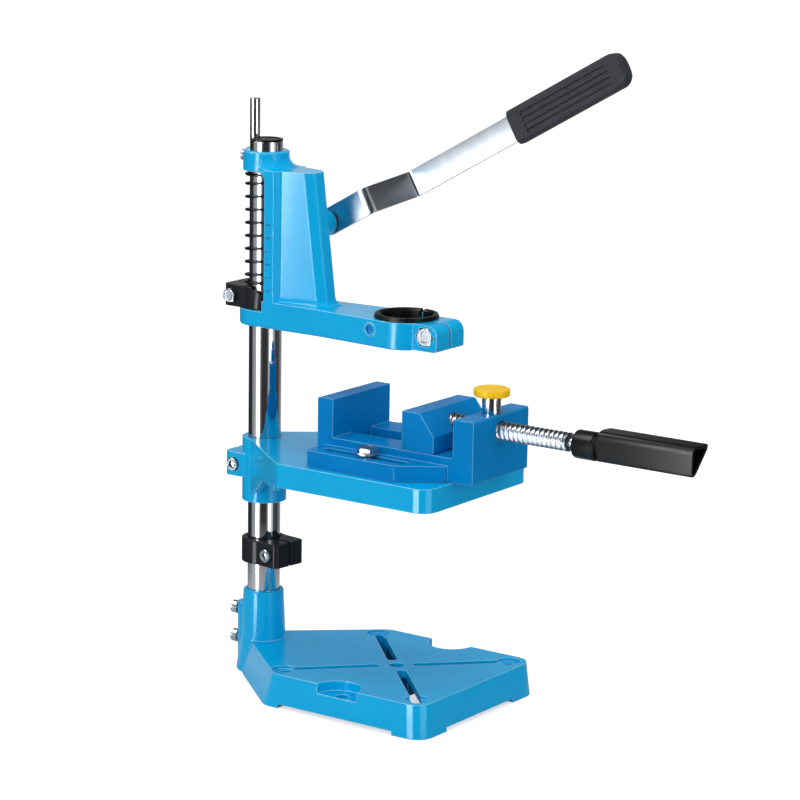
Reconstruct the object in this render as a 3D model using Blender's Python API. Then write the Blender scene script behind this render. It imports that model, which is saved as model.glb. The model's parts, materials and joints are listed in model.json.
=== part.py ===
"""Drill stand: column, sliding drill head with rack and pinion feed, adjustable table and vise.

Metres, +Z up. The column axis is the Z axis and the stand rests on z = 0.
The front, where the arm and the table reach, is -Y: "fore" distances are measured that way.
The feed lever is on the +X side.
"""

import math

import bmesh
import bpy
from mathutils import Matrix, Vector

# Common clearances and steps
SEAT = 0.0003
OVERRUN = 0.002
RUNNING = 0.0003
ROUND_SEGS = 36
SMALL_SEGS = 18
FASTENER_SEGS = 12
ARC_STEPS = 4
SHARP_ANGLE = math.radians(32.0)

# Column tube and cap
COLUMN_R = 0.0125
COLUMN_WALL = 0.0015
COLUMN_BOTTOM_Z = 0.008
COLUMN_TOP_Z = 0.4107
CAP_FLANGE_T = 0.001
CAP_PLUG_LENGTH = 0.009
CAP_EDGE = 0.0004

# Base casting
BASE_H = 0.0255
BASE_HALF_W = 0.0762
BASE_DRAFT = 0.0022
BASE_FRONT = 0.203
BASE_CORNER_R = 0.013
BASE_SHOULDER_R = 0.015
BASE_EDGE_R = 0.0028
BASE_WALL = 0.005
BASE_PLATE_T = 0.0065
BASE_HIP_F = 0.0672
BASE_HIP_FLARE = 0.0078
BASE_WAIST_X = 0.0209
BASE_WAIST_F = 0.0054
BASE_WAIST_FLARE = 0.009
BASE_HEEL_X = 0.0063
BASE_HEEL_Y = 0.0117
BASE_HEEL_FLARE = 0.0087
BASE_POCKET_REAR_F = 0.030
FOOT_RISE = 0.003
FOOT_SIDE_REAR_F = 0.072
FOOT_SIDE_FRONT_F = 0.176
FOOT_FRONT_HALF = 0.044
SLOT_END_MARGIN = 0.0159
SLOT_REAR_F = 0.0662
SLOT_FRONT_F = 0.1876
SLOT_INNER_X = 0.011
SLOT_INNER_DF = 0.012
SLOT_W = 0.008
SLOT_RECESS_R = 0.0092
SLOT_RECESS_DEPTH = 0.0025
SLOT_PAD_RIM = 0.004
BASE_CENTRE_F = 0.1266
BASE_CENTRE_HOLE_R = 0.0061
NOTCH_F = 0.1255
NOTCH_R = 0.018
NOTCH_LEDGE_Z = 0.018
NOTCH_HOLE_MARGIN = 0.0075
NOTCH_HOLE_R = 0.005
BASE_RIB_T = 0.004
BASE_RIB_Z = 0.008

# Column socket on the base
SOCKET_TOP_Z = 0.064
SOCKET_TOP_R = 0.0155
SOCKET_LOW_R = 0.017
SOCKET_LOW_Z = 0.030
SOCKET_FOOT_R = 0.0205
SOCKET_RIM_R = 0.0012
REAR_RIB_HALF_W = 0.008
REAR_RIB_CENTRE_Y = 0.015
REAR_RIB_TOP_Z = 0.0507
REAR_RIB_EDGE_R = 0.0015
SET_SCREW_UPPER_Z = 0.044
SET_SCREW_LOWER_Z = 0.021

# M6 socket cap screws
M6_SHANK_R = 0.003
M6_HEAD_R = 0.005
M6_HEAD_H = 0.006
M6_KEY_AF = 0.005
M6_KEY_DEPTH = 0.003
M6_HEX_AF = 0.010
M6_HEX_H = 0.004
SCREW_EDGE = 0.0004

# M5 screws
M5_SHANK_R = 0.0025
M5_HEAD_R = 0.0042
M5_HEAD_H = 0.005
M5_KEY_AF = 0.004
M5_KEY_DEPTH = 0.0025

# M8 bolts and nuts
M8_SHANK_R = 0.004
M8_HEX_AF = 0.013
M8_HEX_H = 0.0053
M8_NUT_H = 0.0065
M8_FLANGE_R = 0.0085
M8_FLANGE_T = 0.0015

# Split clamp collars (stop collar and head collar share the casting)
COLLAR_RING_R = 0.017
COLLAR_BLOCK_HALF = 0.01525
COLLAR_BLOCK_REACH = 0.0284
COLLAR_BLOCK_CORNER = 0.004
COLLAR_SLIT = 0.002
COLLAR_EDGE_R = 0.0008
STOP_COLLAR_Z = 0.0865
STOP_COLLAR_H = 0.0185
STOP_COLLAR_YAW = math.radians(-8.0)
STOP_SCREW_F = 0.019
STOP_SCREW_ENGAGE = 0.0125
STOP_COUNTERBORE_DEPTH = 0.003

# Table casting
TABLE_TOP_Z = 0.184
TABLE_SKIRT_H = 0.018
TABLE_HALF_W = 0.0676
TABLE_FRONT = 0.198
TABLE_CORNER_R = 0.012
TABLE_SHOULDER_R = 0.009
TABLE_EDGE_R = 0.0025
TABLE_WALL = 0.0045
TABLE_PLATE_T = 0.006
TABLE_SHOULDER_F = 0.0633
TABLE_WAIST_X = 0.016
TABLE_WAIST_Y = 0.002
TABLE_SOCKET_R = 0.017
TABLE_SOCKET_BOTTOM_Z = 0.1347
TABLE_WEB_T = 0.0045
TABLE_WEB_ARCH_X = 0.0416
TABLE_WEB_ARCH_Z = 0.1614
TABLE_WEB_ROOT_X = 0.0245
TABLE_WEB_ROOT_Z = 0.145
TABLE_EAR_HALF = 0.016
TABLE_EAR_REACH = 0.0266
TABLE_EAR_BOTTOM_Z = 0.153
TABLE_EAR_TOP_Z = 0.1715
TABLE_EAR_CORNER = 0.005
TABLE_SLIT = 0.002
TABLE_SCREW_Y = 0.0178
TABLE_SCREW_Z = 0.162
TABLE_SCREW_SINK = 0.004
TABLE_SCREW_ENGAGE = 0.0135
TABLE_POCKET_REAR_F = 0.026
TABLE_CENTRE_HOLE_R = 0.008
TABLE_RIB_T = 0.004
TABLE_RIB_F = 0.100
COUNTERBORE_CLEARANCE = 0.0005

# Vise body
VISE_FLANGE_H = 0.0117
VISE_FLANGE_HALF = 0.060
VISE_FLANGE_REAR_F = 0.083
VISE_FLANGE_SIDE_F = 0.164
VISE_FLANGE_NOSE_F = 0.194
VISE_FLANGE_NOSE_X = 0.038
VISE_FLANGE_CORNER = 0.005
VISE_FLANGE_EDGE_R = 0.0015
VISE_RAIL_HALF = 0.036
VISE_RAIL_H = 0.0177
VISE_CHANNEL_HALF = 0.012
VISE_KEEPER_HALF = 0.0185
VISE_KEEPER_DEPTH = 0.0042
VISE_FIXED_REAR_F = 0.077
VISE_FIXED_FACE_F = 0.091
VISE_JAW_TOP_H = 0.0467
VISE_BLOCK_GAP = 0.017
VISE_BLOCK_T = 0.0175
VISE_BLOCK_EDGE_R = 0.0015
VISE_SLOT_X = 0.048
VISE_SLOT_REAR_F = 0.092
VISE_SLOT_FRONT_F = 0.167
VISE_SLOT_W = 0.0086
VISE_BOLT_F = 0.131

# Moving jaw
JAW_FACE_F = 0.153
JAW_TOP_DEPTH = 0.0155
JAW_DEPTH = 0.028
JAW_BACK_H = 0.016
JAW_EDGE_R = 0.0012
JAW_KEEL_H = 0.0137
JAW_KEEL_SETBACK = 0.004
JAW_KEEL_INSET = 0.003
KEEPER_T = 0.003
KEEPER_LIFT = 0.0006
KEEPER_SCREW_INSET = 0.005
KEEPER_SCREW_R = 0.002
KEEPER_SCREW_HEAD_R = 0.0038
KEEPER_SCREW_HEAD_T = 0.0016
KEEPER_SCREW_LENGTH = 0.010
JAW_POCKET_R = 0.0082
JAW_POCKET_DEPTH = 0.009

# Vise screw and handle
VISE_SCREW_H = 0.035
VISE_SCREW_R = 0.007
VISE_SCREW_END_F = 0.275
VISE_SCREW_EDGE = 0.001
VISE_JOURNAL_R = 0.005
VISE_JOURNAL_LENGTH = 0.0095
VISE_NECK_R = 0.00365
VISE_NECK_END_F = 0.278
VISE_TANG_R = 0.004
VISE_TANG_LENGTH = 0.018
HANDLE_COLLAR_R = 0.011
HANDLE_COLLAR_END_F = 0.299
HANDLE_END_F = 0.382
HANDLE_TOP_HALF = 0.0125
HANDLE_RISE = 0.0135
HANDLE_DROP = 0.0145
HANDLE_ROUND = 0.006
HANDLE_WALL = 0.0022
HANDLE_FLOOR_F = 0.303
HANDLE_MOUTH_SLANT = 0.007
HANDLE_CORE_R = 0.0062

# Quick release plunger on the front block
RELEASE_SLEEVE_R = 0.007
RELEASE_SLEEVE_TOP_H = 0.0121
RELEASE_SPIGOT_R = 0.006
RELEASE_SPIGOT_DEPTH = 0.0018
RELEASE_BORE_R = 0.005
RELEASE_ROOF_T = 0.0025
RELEASE_STEM_R = 0.0025
RELEASE_FOOT_H = 0.0085
RELEASE_TRAVEL = 0.0035
RELEASE_KNOB_R = 0.0134
RELEASE_KNOB_T = 0.0056
RELEASE_KNOB_GAP = 0.0006
RELEASE_KNOB_EDGE = 0.0012
RELEASE_STEM_IN_KNOB = 0.0038
RELEASE_WIRE_R = 0.0004
RELEASE_COIL_R = 0.0037
RELEASE_TURNS = 3
TURN_POINTS = 8

# Head casting: arm
ARM_BOTTOM_Z = 0.2715
ARM_H = 0.0205
ARM_HALF_W = 0.0194
ARM_EDGE_R = 0.0022
ARM_REAR_DROP = 0.008
ARM_STEP_Y = -0.0110
ARM_RING_F = 0.1305
ARM_RING_R = 0.025
ARM_BORE_R = 0.0219
ARM_NOSE_HALF = 0.0176
ARM_NOSE_F = 0.1695
ARM_NOSE_CORNER = 0.003
ARM_NOSE_RISE = 0.001
ARM_NOSE_ROUND = 0.008
ARM_SLIT = 0.0022
ARM_SLIT_REAR_F = 0.090
ARM_POCKET_REAR_F = 0.060
ARM_POCKET_FRONT_F = 0.096
ARM_POCKET_WALL = 0.0045
ARM_POCKET_ROOF_T = 0.005
ARM_PORT_F = 0.1146
ARM_PORT_H = 0.0129
ARM_PORT_R = 0.00375
ARM_PORT_RIM_R = 0.00525
ARM_PORT_RIM_T = 0.0007
ARM_PORT_DEPTH = 0.003
NOSE_BOLT_F = 0.1585
NOSE_BOLT_H = 0.0115
NOSE_POCKET_DEPTH = 0.0066

# Head casting: mechanism housing
HOUSING_TOP_Z = 0.391
HOUSING_FLANGE_HALF = 0.0194
HOUSING_FLANGE_REAR_Y = -0.013
HOUSING_FLANGE_FRONT_F = 0.022
HOUSING_PANEL_X = 0.015
HOUSING_PANEL_F = 0.0254
HOUSING_CHEEK_X = 0.0107
HOUSING_CHEEK_BACK = 0.0058
HOUSING_NOSE_X = 0.0052
HOUSING_FRONT_TOP_F = 0.050
HOUSING_FRONT_LOW_F = 0.062
HOUSING_FRONT_LOW_Z = 0.299
HOUSING_CORNER_R = 0.0045
HOUSING_STEP_R = 0.002
HOUSING_WALL = 0.0034
HOUSING_ROOF_T = 0.0065
HOUSING_TOP_EDGE_R = 0.002
HOUSING_FOOT_FLARE = 0.006
PANEL_FLARE_SHARE = 0.7
CHEEK_FLARE_SHARE = 0.6
NOSE_FLARE_SHARE = 0.3
HOUSING_HOOK_R = 0.006
HOUSING_CHANNEL_HALF = 0.0152
HEAD_BOSS_R = 0.0175
HEAD_BOSS_BOTTOM_Z = 0.3887
HEAD_BOSS_TOP_Z = 0.4036
HEAD_BOSS_EDGE_R = 0.001
HEAD_BOSS_FLARE_R = 0.009
HEAD_REST_GAP = 0.0025
ROD_LUG_R = 0.0065

# Depth rod
ROD_X = 0.010
ROD_Y = 0.0187
ROD_R = 0.0039
ROD_TOP_Z = 0.440
ROD_STOP_GAP = 0.0005
ROD_EDGE = 0.0006
ROD_SCREW_Z = 0.3962

# Head collar and rack
HEAD_COLLAR_LIFT = 0.0003
HEAD_COLLAR_H = 0.0167
HEAD_COLLAR_SLOPE_Y = 0.004
HEAD_COLLAR_FRONT_Y = -0.012
HEAD_COLLAR_SLOPE_DROP = 0.0065
HEAD_COLLAR_BOLT_Y = 0.0205
HEAD_COLLAR_BOLT_H = 0.0085
HEAD_COLLAR_TONGUE_HALF = 0.0075
HEAD_COLLAR_TONGUE_H = 0.0095
RACK_BACK_F = 0.0172
RACK_HALF_W = 0.0042
RACK_BOTTOM_Z = 0.2943
RACK_SCREW_R = 0.002
RACK_SCREW_HEAD_R = 0.0035
RACK_SCREW_HEAD_H = 0.002
RACK_TAIL_H = 0.008
RACK_SLOT_GAP = 0.0005

# Return spring round the column
SPRING_WIRE_R = 0.0011
SPRING_COIL_R = 0.0149
SPRING_ACTIVE_TURNS = 8
SPRING_CLOSED_TURNS = 1
SPRING_CLOSED_PITCH = 0.0028
SPRING_POINTS = 10
SPRING_CLEARANCE = 0.0006

# Feed shaft, pinion and bush
SHAFT_F = 0.036
SHAFT_Z = 0.3485
SHAFT_R = 0.006
SHAFT_INNER_X = -0.0055
SHAFT_EDGE = 0.0005
BOSS_R = 0.0099
BOSS_END_X = 0.0275
BOSS_ROOT_X = 0.0095
BUSH_WALL = 0.0015
BUSH_FLANGE_T = 0.0009
BUSH_FLANGE_R = 0.0092
GEAR_MODULE = 0.0015
GEAR_TEETH = 18
GEAR_PRESSURE = math.radians(20.0)
GEAR_HALF_W = 0.0044
GEAR_BACKLASH = 0.0004
GEAR_ROOT_CLEARANCE = 0.0004
GEAR_FLANK_STEPS = 4
PIN_R = 0.0012
TENON_FLAT_HALF = 0.0045

# Lever
LEVER_ANGLE = math.radians(29.43)
LEVER_W = 0.020
LEVER_T = 0.004
LEVER_OUTER_X = 0.075
LEVER_BEND_IN_R = 0.0405
LEVER_BEND_OUT_R = 0.0548
LEVER_BEND_ROUND = 0.006
LEVER_OFFSET = 0.002
LEVER_TIP_R = 0.255
LEVER_EDGE = 0.0004
GRIP_START_R = 0.1565
GRIP_TIP_R = 0.266
GRIP_W = 0.0265
GRIP_T = 0.011
GRIP_CHAMFER = 0.0022
GRIP_TIP_ROUND = 0.010
GRIP_GROOVES = 4
GRIP_GROOVE_W = 0.0018
GRIP_GROOVE_DEPTH = 0.0008
GRIP_GROOVE_START = 0.014
GRIP_GROOVE_END = 0.014
GRIP_GROOVE_PITCH = 0.0046

# Adapter ring
ADAPTER_FLANGE_R = 0.024
ADAPTER_FLANGE_T = 0.0029
ADAPTER_BORE_R = 0.0192
ADAPTER_MOUTH = 0.0016
ADAPTER_DEPTH = 0.0198
ADAPTER_SLIT = 0.003
ADAPTER_STEP = 0.0006


# Scene and materials

def clear_scene():
    """Remove the objects of the opened scene."""
    for old in list(bpy.data.objects):
        bpy.data.objects.remove(old, do_unlink=True)


def finish_material(name, colour, roughness, metallic):
    """A Principled material with one colour."""
    made = bpy.data.materials.new(name)
    made.use_nodes = True
    shader = made.node_tree.nodes["Principled BSDF"]
    shader.inputs["Base Color"].default_value = (*colour, 1.0)
    shader.inputs["Roughness"].default_value = roughness
    shader.inputs["Metallic"].default_value = metallic
    made.diffuse_color = (*colour, 1.0)
    return made


def stand_materials():
    """The finishes of the stand."""
    return {
        "paint": finish_material("stand_paint", (0.0, 0.31, 0.69), 0.28, 0.0),
        "vise_paint": finish_material("vise_paint", (0.0, 0.19, 0.52), 0.34, 0.0),
        "chrome": finish_material("chrome", (0.80, 0.80, 0.81), 0.12, 1.0),
        "zinc": finish_material("zinc_plate", (0.66, 0.67, 0.68), 0.32, 1.0),
        "spring": finish_material("spring_steel", (0.12, 0.12, 0.125), 0.35, 1.0),
        "bronze": finish_material("bronze", (0.55, 0.36, 0.14), 0.35, 1.0),
        "collar": finish_material("black_paint", (0.016, 0.017, 0.019), 0.30, 0.0),
        "black": finish_material("black_plastic", (0.012, 0.013, 0.015), 0.42, 0.0),
        "grip": finish_material("grip_plastic", (0.055, 0.055, 0.065), 0.55, 0.0),
        "yellow": finish_material("yellow_plastic", (0.91, 0.57, 0.0), 0.30, 0.0),
    }


# Outlines

def arc(centre, radius, start, end, steps):
    """Points of a circular arc in the plane, both ends included."""
    points = []
    for index in range(steps + 1):
        angle = start + (end - start) * index / steps
        points.append((centre[0] + radius * math.cos(angle), centre[1] + radius * math.sin(angle)))
    return points


def round_corners(points, radii, steps=ARC_STEPS):
    """The polygon with each corner replaced by a tangent arc; a zero radius keeps the corner."""
    rounded = []
    count = len(points)
    for index, radius in enumerate(radii):
        here = Vector(points[index])
        before = Vector(points[index - 1])
        after = Vector(points[(index + 1) % count])
        if radius == 0:
            rounded.append((here.x, here.y))
            continue
        back = (before - here)
        ahead = (after - here)
        half = back.angle(ahead) / 2
        reach = radius / math.tan(half)
        limit = min(back.length, ahead.length) * 0.49
        reach = min(reach, limit)
        used = reach * math.tan(half)
        centre = here + (back.normalized() + ahead.normalized()).normalized() * (used / math.sin(half))
        first = here + back.normalized() * reach - centre
        turn = first.angle_signed(here + ahead.normalized() * reach - centre)
        for step in range(steps + 1):
            spoke = first.copy()
            spoke.rotate(Matrix.Rotation(-turn * step / steps, 2))
            rounded.append((centre.x + spoke.x, centre.y + spoke.y))
    return rounded


def inset(points, distance):
    """The polygon with each edge moved inwards by a distance (anticlockwise points)."""
    moved = []
    count = len(points)
    for index in range(count):
        before = Vector(points[index - 1])
        here = Vector(points[index])
        after = Vector(points[(index + 1) % count])
        along_in = (here - before).normalized()
        along_out = (after - here).normalized()
        normal_in = Vector((-along_in.y, along_in.x))
        normal_out = Vector((-along_out.y, along_out.x))
        bisector = (normal_in + normal_out).normalized()
        moved.append(tuple(here + bisector * (distance / bisector.dot(normal_in))))
    return moved


def mirrored(right):
    """A closed outline from the points of its +X half, ordered rear to front."""
    left = [(-x, y) for x, y in reversed(right)]
    return right[::-1] + left[::-1]


def circle(radius, count=ROUND_SEGS, centre=(0.0, 0.0)):
    """Points of a circle, anticlockwise."""
    return [(centre[0] + radius * math.cos(math.tau * i / count),
             centre[1] + radius * math.sin(math.tau * i / count)) for i in range(count)]


def hexagon(across_flats, count):
    """Points of a hexagon with a multiple of six points, spaced in angle as a circle's are."""
    points = []
    for index in range(count):
        angle = math.tau * index / count
        local = (angle + math.pi / 6) % (math.pi / 3) - math.pi / 6
        radius = across_flats / 2 / math.cos(local)
        points.append((radius * math.cos(angle), radius * math.sin(angle)))
    return points


def level(points, z):
    """The outline lifted to a height."""
    return [Vector((x, y, z)) for x, y in points]


# Meshes and objects

def object_from(bm, name, finish, smooth=True):
    """Turn a bmesh into a named object with its material."""
    bmesh.ops.recalc_face_normals(bm, faces=bm.faces)
    mesh = bpy.data.meshes.new(name)
    bm.to_mesh(mesh)
    bm.free()
    made = bpy.data.objects.new(name, mesh)
    bpy.context.scene.collection.objects.link(made)
    if finish is not None:
        mesh.materials.append(finish)
    if smooth:
        mesh.shade_smooth()
        mesh.set_sharp_from_angle(angle=SHARP_ANGLE)
    return made


def loft(rings, cyclic=False):
    """A closed body through rings of equal point counts; cyclic joins the last to the first."""
    bm = bmesh.new()
    made = [[bm.verts.new(point) for point in ring] for ring in rings]
    count = len(made[0])
    last = len(made) if cyclic else len(made) - 1
    for index in range(last):
        lower = made[index]
        upper = made[(index + 1) % len(made)]
        for side in range(count):
            following = (side + 1) % count
            bm.faces.new((lower[side], lower[following], upper[following], upper[side]))
    if not cyclic:
        bm.faces.new(made[0][::-1])
        bm.faces.new(made[-1])
    return bm


def prism(outline, bottom, top):
    """An outline raised between two heights."""
    return loft([level(outline, bottom), level(outline, top)])


def soften(bm, height, radius, segments=2):
    """Round the edges that lie at one height."""
    edges = [edge for edge in bm.edges
             if all(abs(vert.co.z - height) < SEAT / 10 for vert in edge.verts)
             and len(edge.link_faces) == 2 and edge.calc_face_angle(0.0) > SHARP_ANGLE]
    bmesh.ops.bevel(bm, geom=edges, offset=radius, segments=segments, profile=0.5,
                    affect='EDGES', clamp_overlap=True)
    return bm


def turned(profile, count=ROUND_SEGS, cyclic=False):
    """A body turned about Z through (radius, height) pairs; cyclic gives it a bore."""
    return loft([level(circle(radius, count), height) for radius, height in profile], cyclic)


def block(low, high):
    """A box between two corners."""
    return prism([(low[0], low[1]), (high[0], low[1]), (high[0], high[1]), (low[0], high[1])],
                 low[2], high[2])


def tube(points, radius, name, finish):
    """One unbroken round wire along points, with filled ends."""
    curve = bpy.data.curves.new(name, 'CURVE')
    curve.dimensions = '3D'
    curve.bevel_depth = radius
    curve.bevel_resolution = 1
    curve.use_fill_caps = True
    spline = curve.splines.new('POLY')
    spline.points.add(len(points) - 1)
    for place, point in zip(spline.points, points):
        place.co = (*point, 1.0)
    made = bpy.data.objects.new(name, curve)
    bpy.context.scene.collection.objects.link(made)
    curve.materials.append(finish)
    made = bake(made)
    bm = bmesh.new()
    bm.from_mesh(made.data)
    bmesh.ops.remove_doubles(bm, verts=bm.verts, dist=SEAT / 100)
    bmesh.ops.recalc_face_normals(bm, faces=bm.faces)
    bm.to_mesh(made.data)
    bm.free()
    made.data.shade_smooth()
    return made


def aim(made, origin, direction, roll=0.0):
    """Place an object built along +Z so that it points along a direction."""
    turn = Vector((0.0, 0.0, 1.0)).rotation_difference(Vector(direction))
    made.matrix_world = (Matrix.Translation(origin) @ turn.to_matrix().to_4x4()
                         @ Matrix.Rotation(roll, 4, 'Z'))
    return made


def bake(made):
    """Keep the evaluated shape as the object's own mesh."""
    bpy.context.view_layer.update()
    graph = bpy.context.evaluated_depsgraph_get()
    shape = bpy.data.meshes.new_from_object(made.evaluated_get(graph), depsgraph=graph)
    if made.type == 'MESH':
        made.modifiers.clear()
        made.data = shape
        return made
    name = made.name
    place = made.matrix_world.copy()
    bpy.data.objects.remove(made, do_unlink=True)
    fresh = bpy.data.objects.new(name, shape)
    bpy.context.scene.collection.objects.link(fresh)
    fresh.matrix_world = place
    return fresh


def combine(made, others, operation):
    """Apply Boolean operations with helper shapes, which are then removed."""
    for other in others:
        step = made.modifiers.new(operation.lower(), 'BOOLEAN')
        step.operation = operation
        step.solver = 'EXACT'
        step.object = other
        other.hide_render = True
        other.display_type = 'WIRE'
    bake(made)
    for other in others:
        bpy.data.objects.remove(other, do_unlink=True)
    made.data.shade_smooth()
    made.data.set_sharp_from_angle(angle=SHARP_ANGLE)
    return made


def fuse(made, *others):
    """Union with helper shapes."""
    return combine(made, others, 'UNION')


def cut(made, *others):
    """Difference with helper shapes."""
    return combine(made, others, 'DIFFERENCE')


def helper(bm, place=None):
    """A shape that is only used in a Boolean."""
    made = object_from(bm, "helper", None, smooth=False)
    if place is not None:
        made.matrix_world = place
    return made


def rod_between(start, end, radius, count=SMALL_SEGS):
    """A helper cylinder from one point to another."""
    start = Vector(start)
    end = Vector(end)
    made = helper(turned([(radius, 0.0), (radius, (end - start).length)], count))
    return aim(made, start, end - start)


def side_prism(outline, half_width):
    """A side profile in (fore, height), extended across X by its half width each way."""
    rings = [[Vector((x, -fore, z)) for fore, z in outline] for x in (-half_width, half_width)]
    return loft(rings)


# Fasteners, built along +Z with the head's seat at z = 0 and the shank below it

def socket_screw(name, shank_r, length, head_r, head_h, key_af, key_depth, finish):
    """A socket-head cap screw with its hexagon key recess."""
    count = FASTENER_SEGS
    rings = [
        level(circle(shank_r - SCREW_EDGE, count), -length),
        level(circle(shank_r, count), SCREW_EDGE - length),
        level(circle(shank_r, count), 0.0),
        level(circle(head_r, count), 0.0),
        level(circle(head_r, count), head_h - SCREW_EDGE),
        level(circle(head_r - SCREW_EDGE, count), head_h),
        level(hexagon(key_af, count), head_h),
        level(hexagon(key_af, count), head_h - key_depth),
    ]
    return object_from(loft(rings), name, finish)


def hex_bolt(name, shank_r, length, across_flats, head_h, finish, flange_r=0.0, flange_t=0.0):
    """A hexagon bolt, with a washer flange where one is asked for."""
    count = FASTENER_SEGS
    rings = [
        level(circle(shank_r - SCREW_EDGE, count), -length),
        level(circle(shank_r, count), SCREW_EDGE - length),
        level(circle(shank_r, count), 0.0),
    ]
    if flange_r > 0:
        rings.append(level(circle(flange_r, count), 0.0))
        rings.append(level(circle(flange_r, count), flange_t / 2))
        rings.append(level(hexagon(across_flats, count), flange_t))
    else:
        rings.append(level(hexagon(across_flats, count), 0.0))
    rings.append(level(hexagon(across_flats, count), head_h - SCREW_EDGE))
    rings.append(level(circle(across_flats / 2 - SCREW_EDGE, count), head_h))
    return object_from(loft(rings), name, finish)


def hex_nut(name, bore_r, across_flats, height, finish):
    """A hexagon nut with its bore along Z from z = 0 up."""
    count = FASTENER_SEGS
    rings = [
        level(hexagon(across_flats, count), 0.0),
        level(hexagon(across_flats, count), height - SCREW_EDGE),
        level(circle(across_flats / 2 - SCREW_EDGE, count), height),
        level(circle(bore_r, count), height),
        level(circle(bore_r, count), 0.0),
    ]
    return object_from(loft(rings, cyclic=True), name, finish)


# Base and column

def base_outlines():
    """The base's outline at the floor and at its top, with the same number of points."""
    top = [
        (BASE_HEEL_X, BASE_HEEL_Y),
        (BASE_WAIST_X, -BASE_WAIST_F),
        (BASE_HALF_W - BASE_DRAFT, -BASE_HIP_F),
        (BASE_HALF_W - BASE_DRAFT, BASE_DRAFT - BASE_FRONT),
    ]
    floor = [
        (BASE_HEEL_X, BASE_HEEL_Y + BASE_HEEL_FLARE),
        (BASE_WAIST_X + BASE_WAIST_FLARE, -BASE_WAIST_F),
        (BASE_HALF_W, BASE_HIP_FLARE - BASE_HIP_F),
        (BASE_HALF_W, -BASE_FRONT),
    ]
    radii = [0, BASE_CORNER_R, BASE_SHOULDER_R, BASE_CORNER_R]
    both = []
    for half in (floor, top):
        whole = mirrored(half)
        both.append(round_corners(whole, radii[::-1] + radii))
    return both


def slot_end_x():
    """Distance of the diagonal slots' outer ends from the middle."""
    return BASE_HALF_W - SLOT_END_MARGIN


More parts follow.
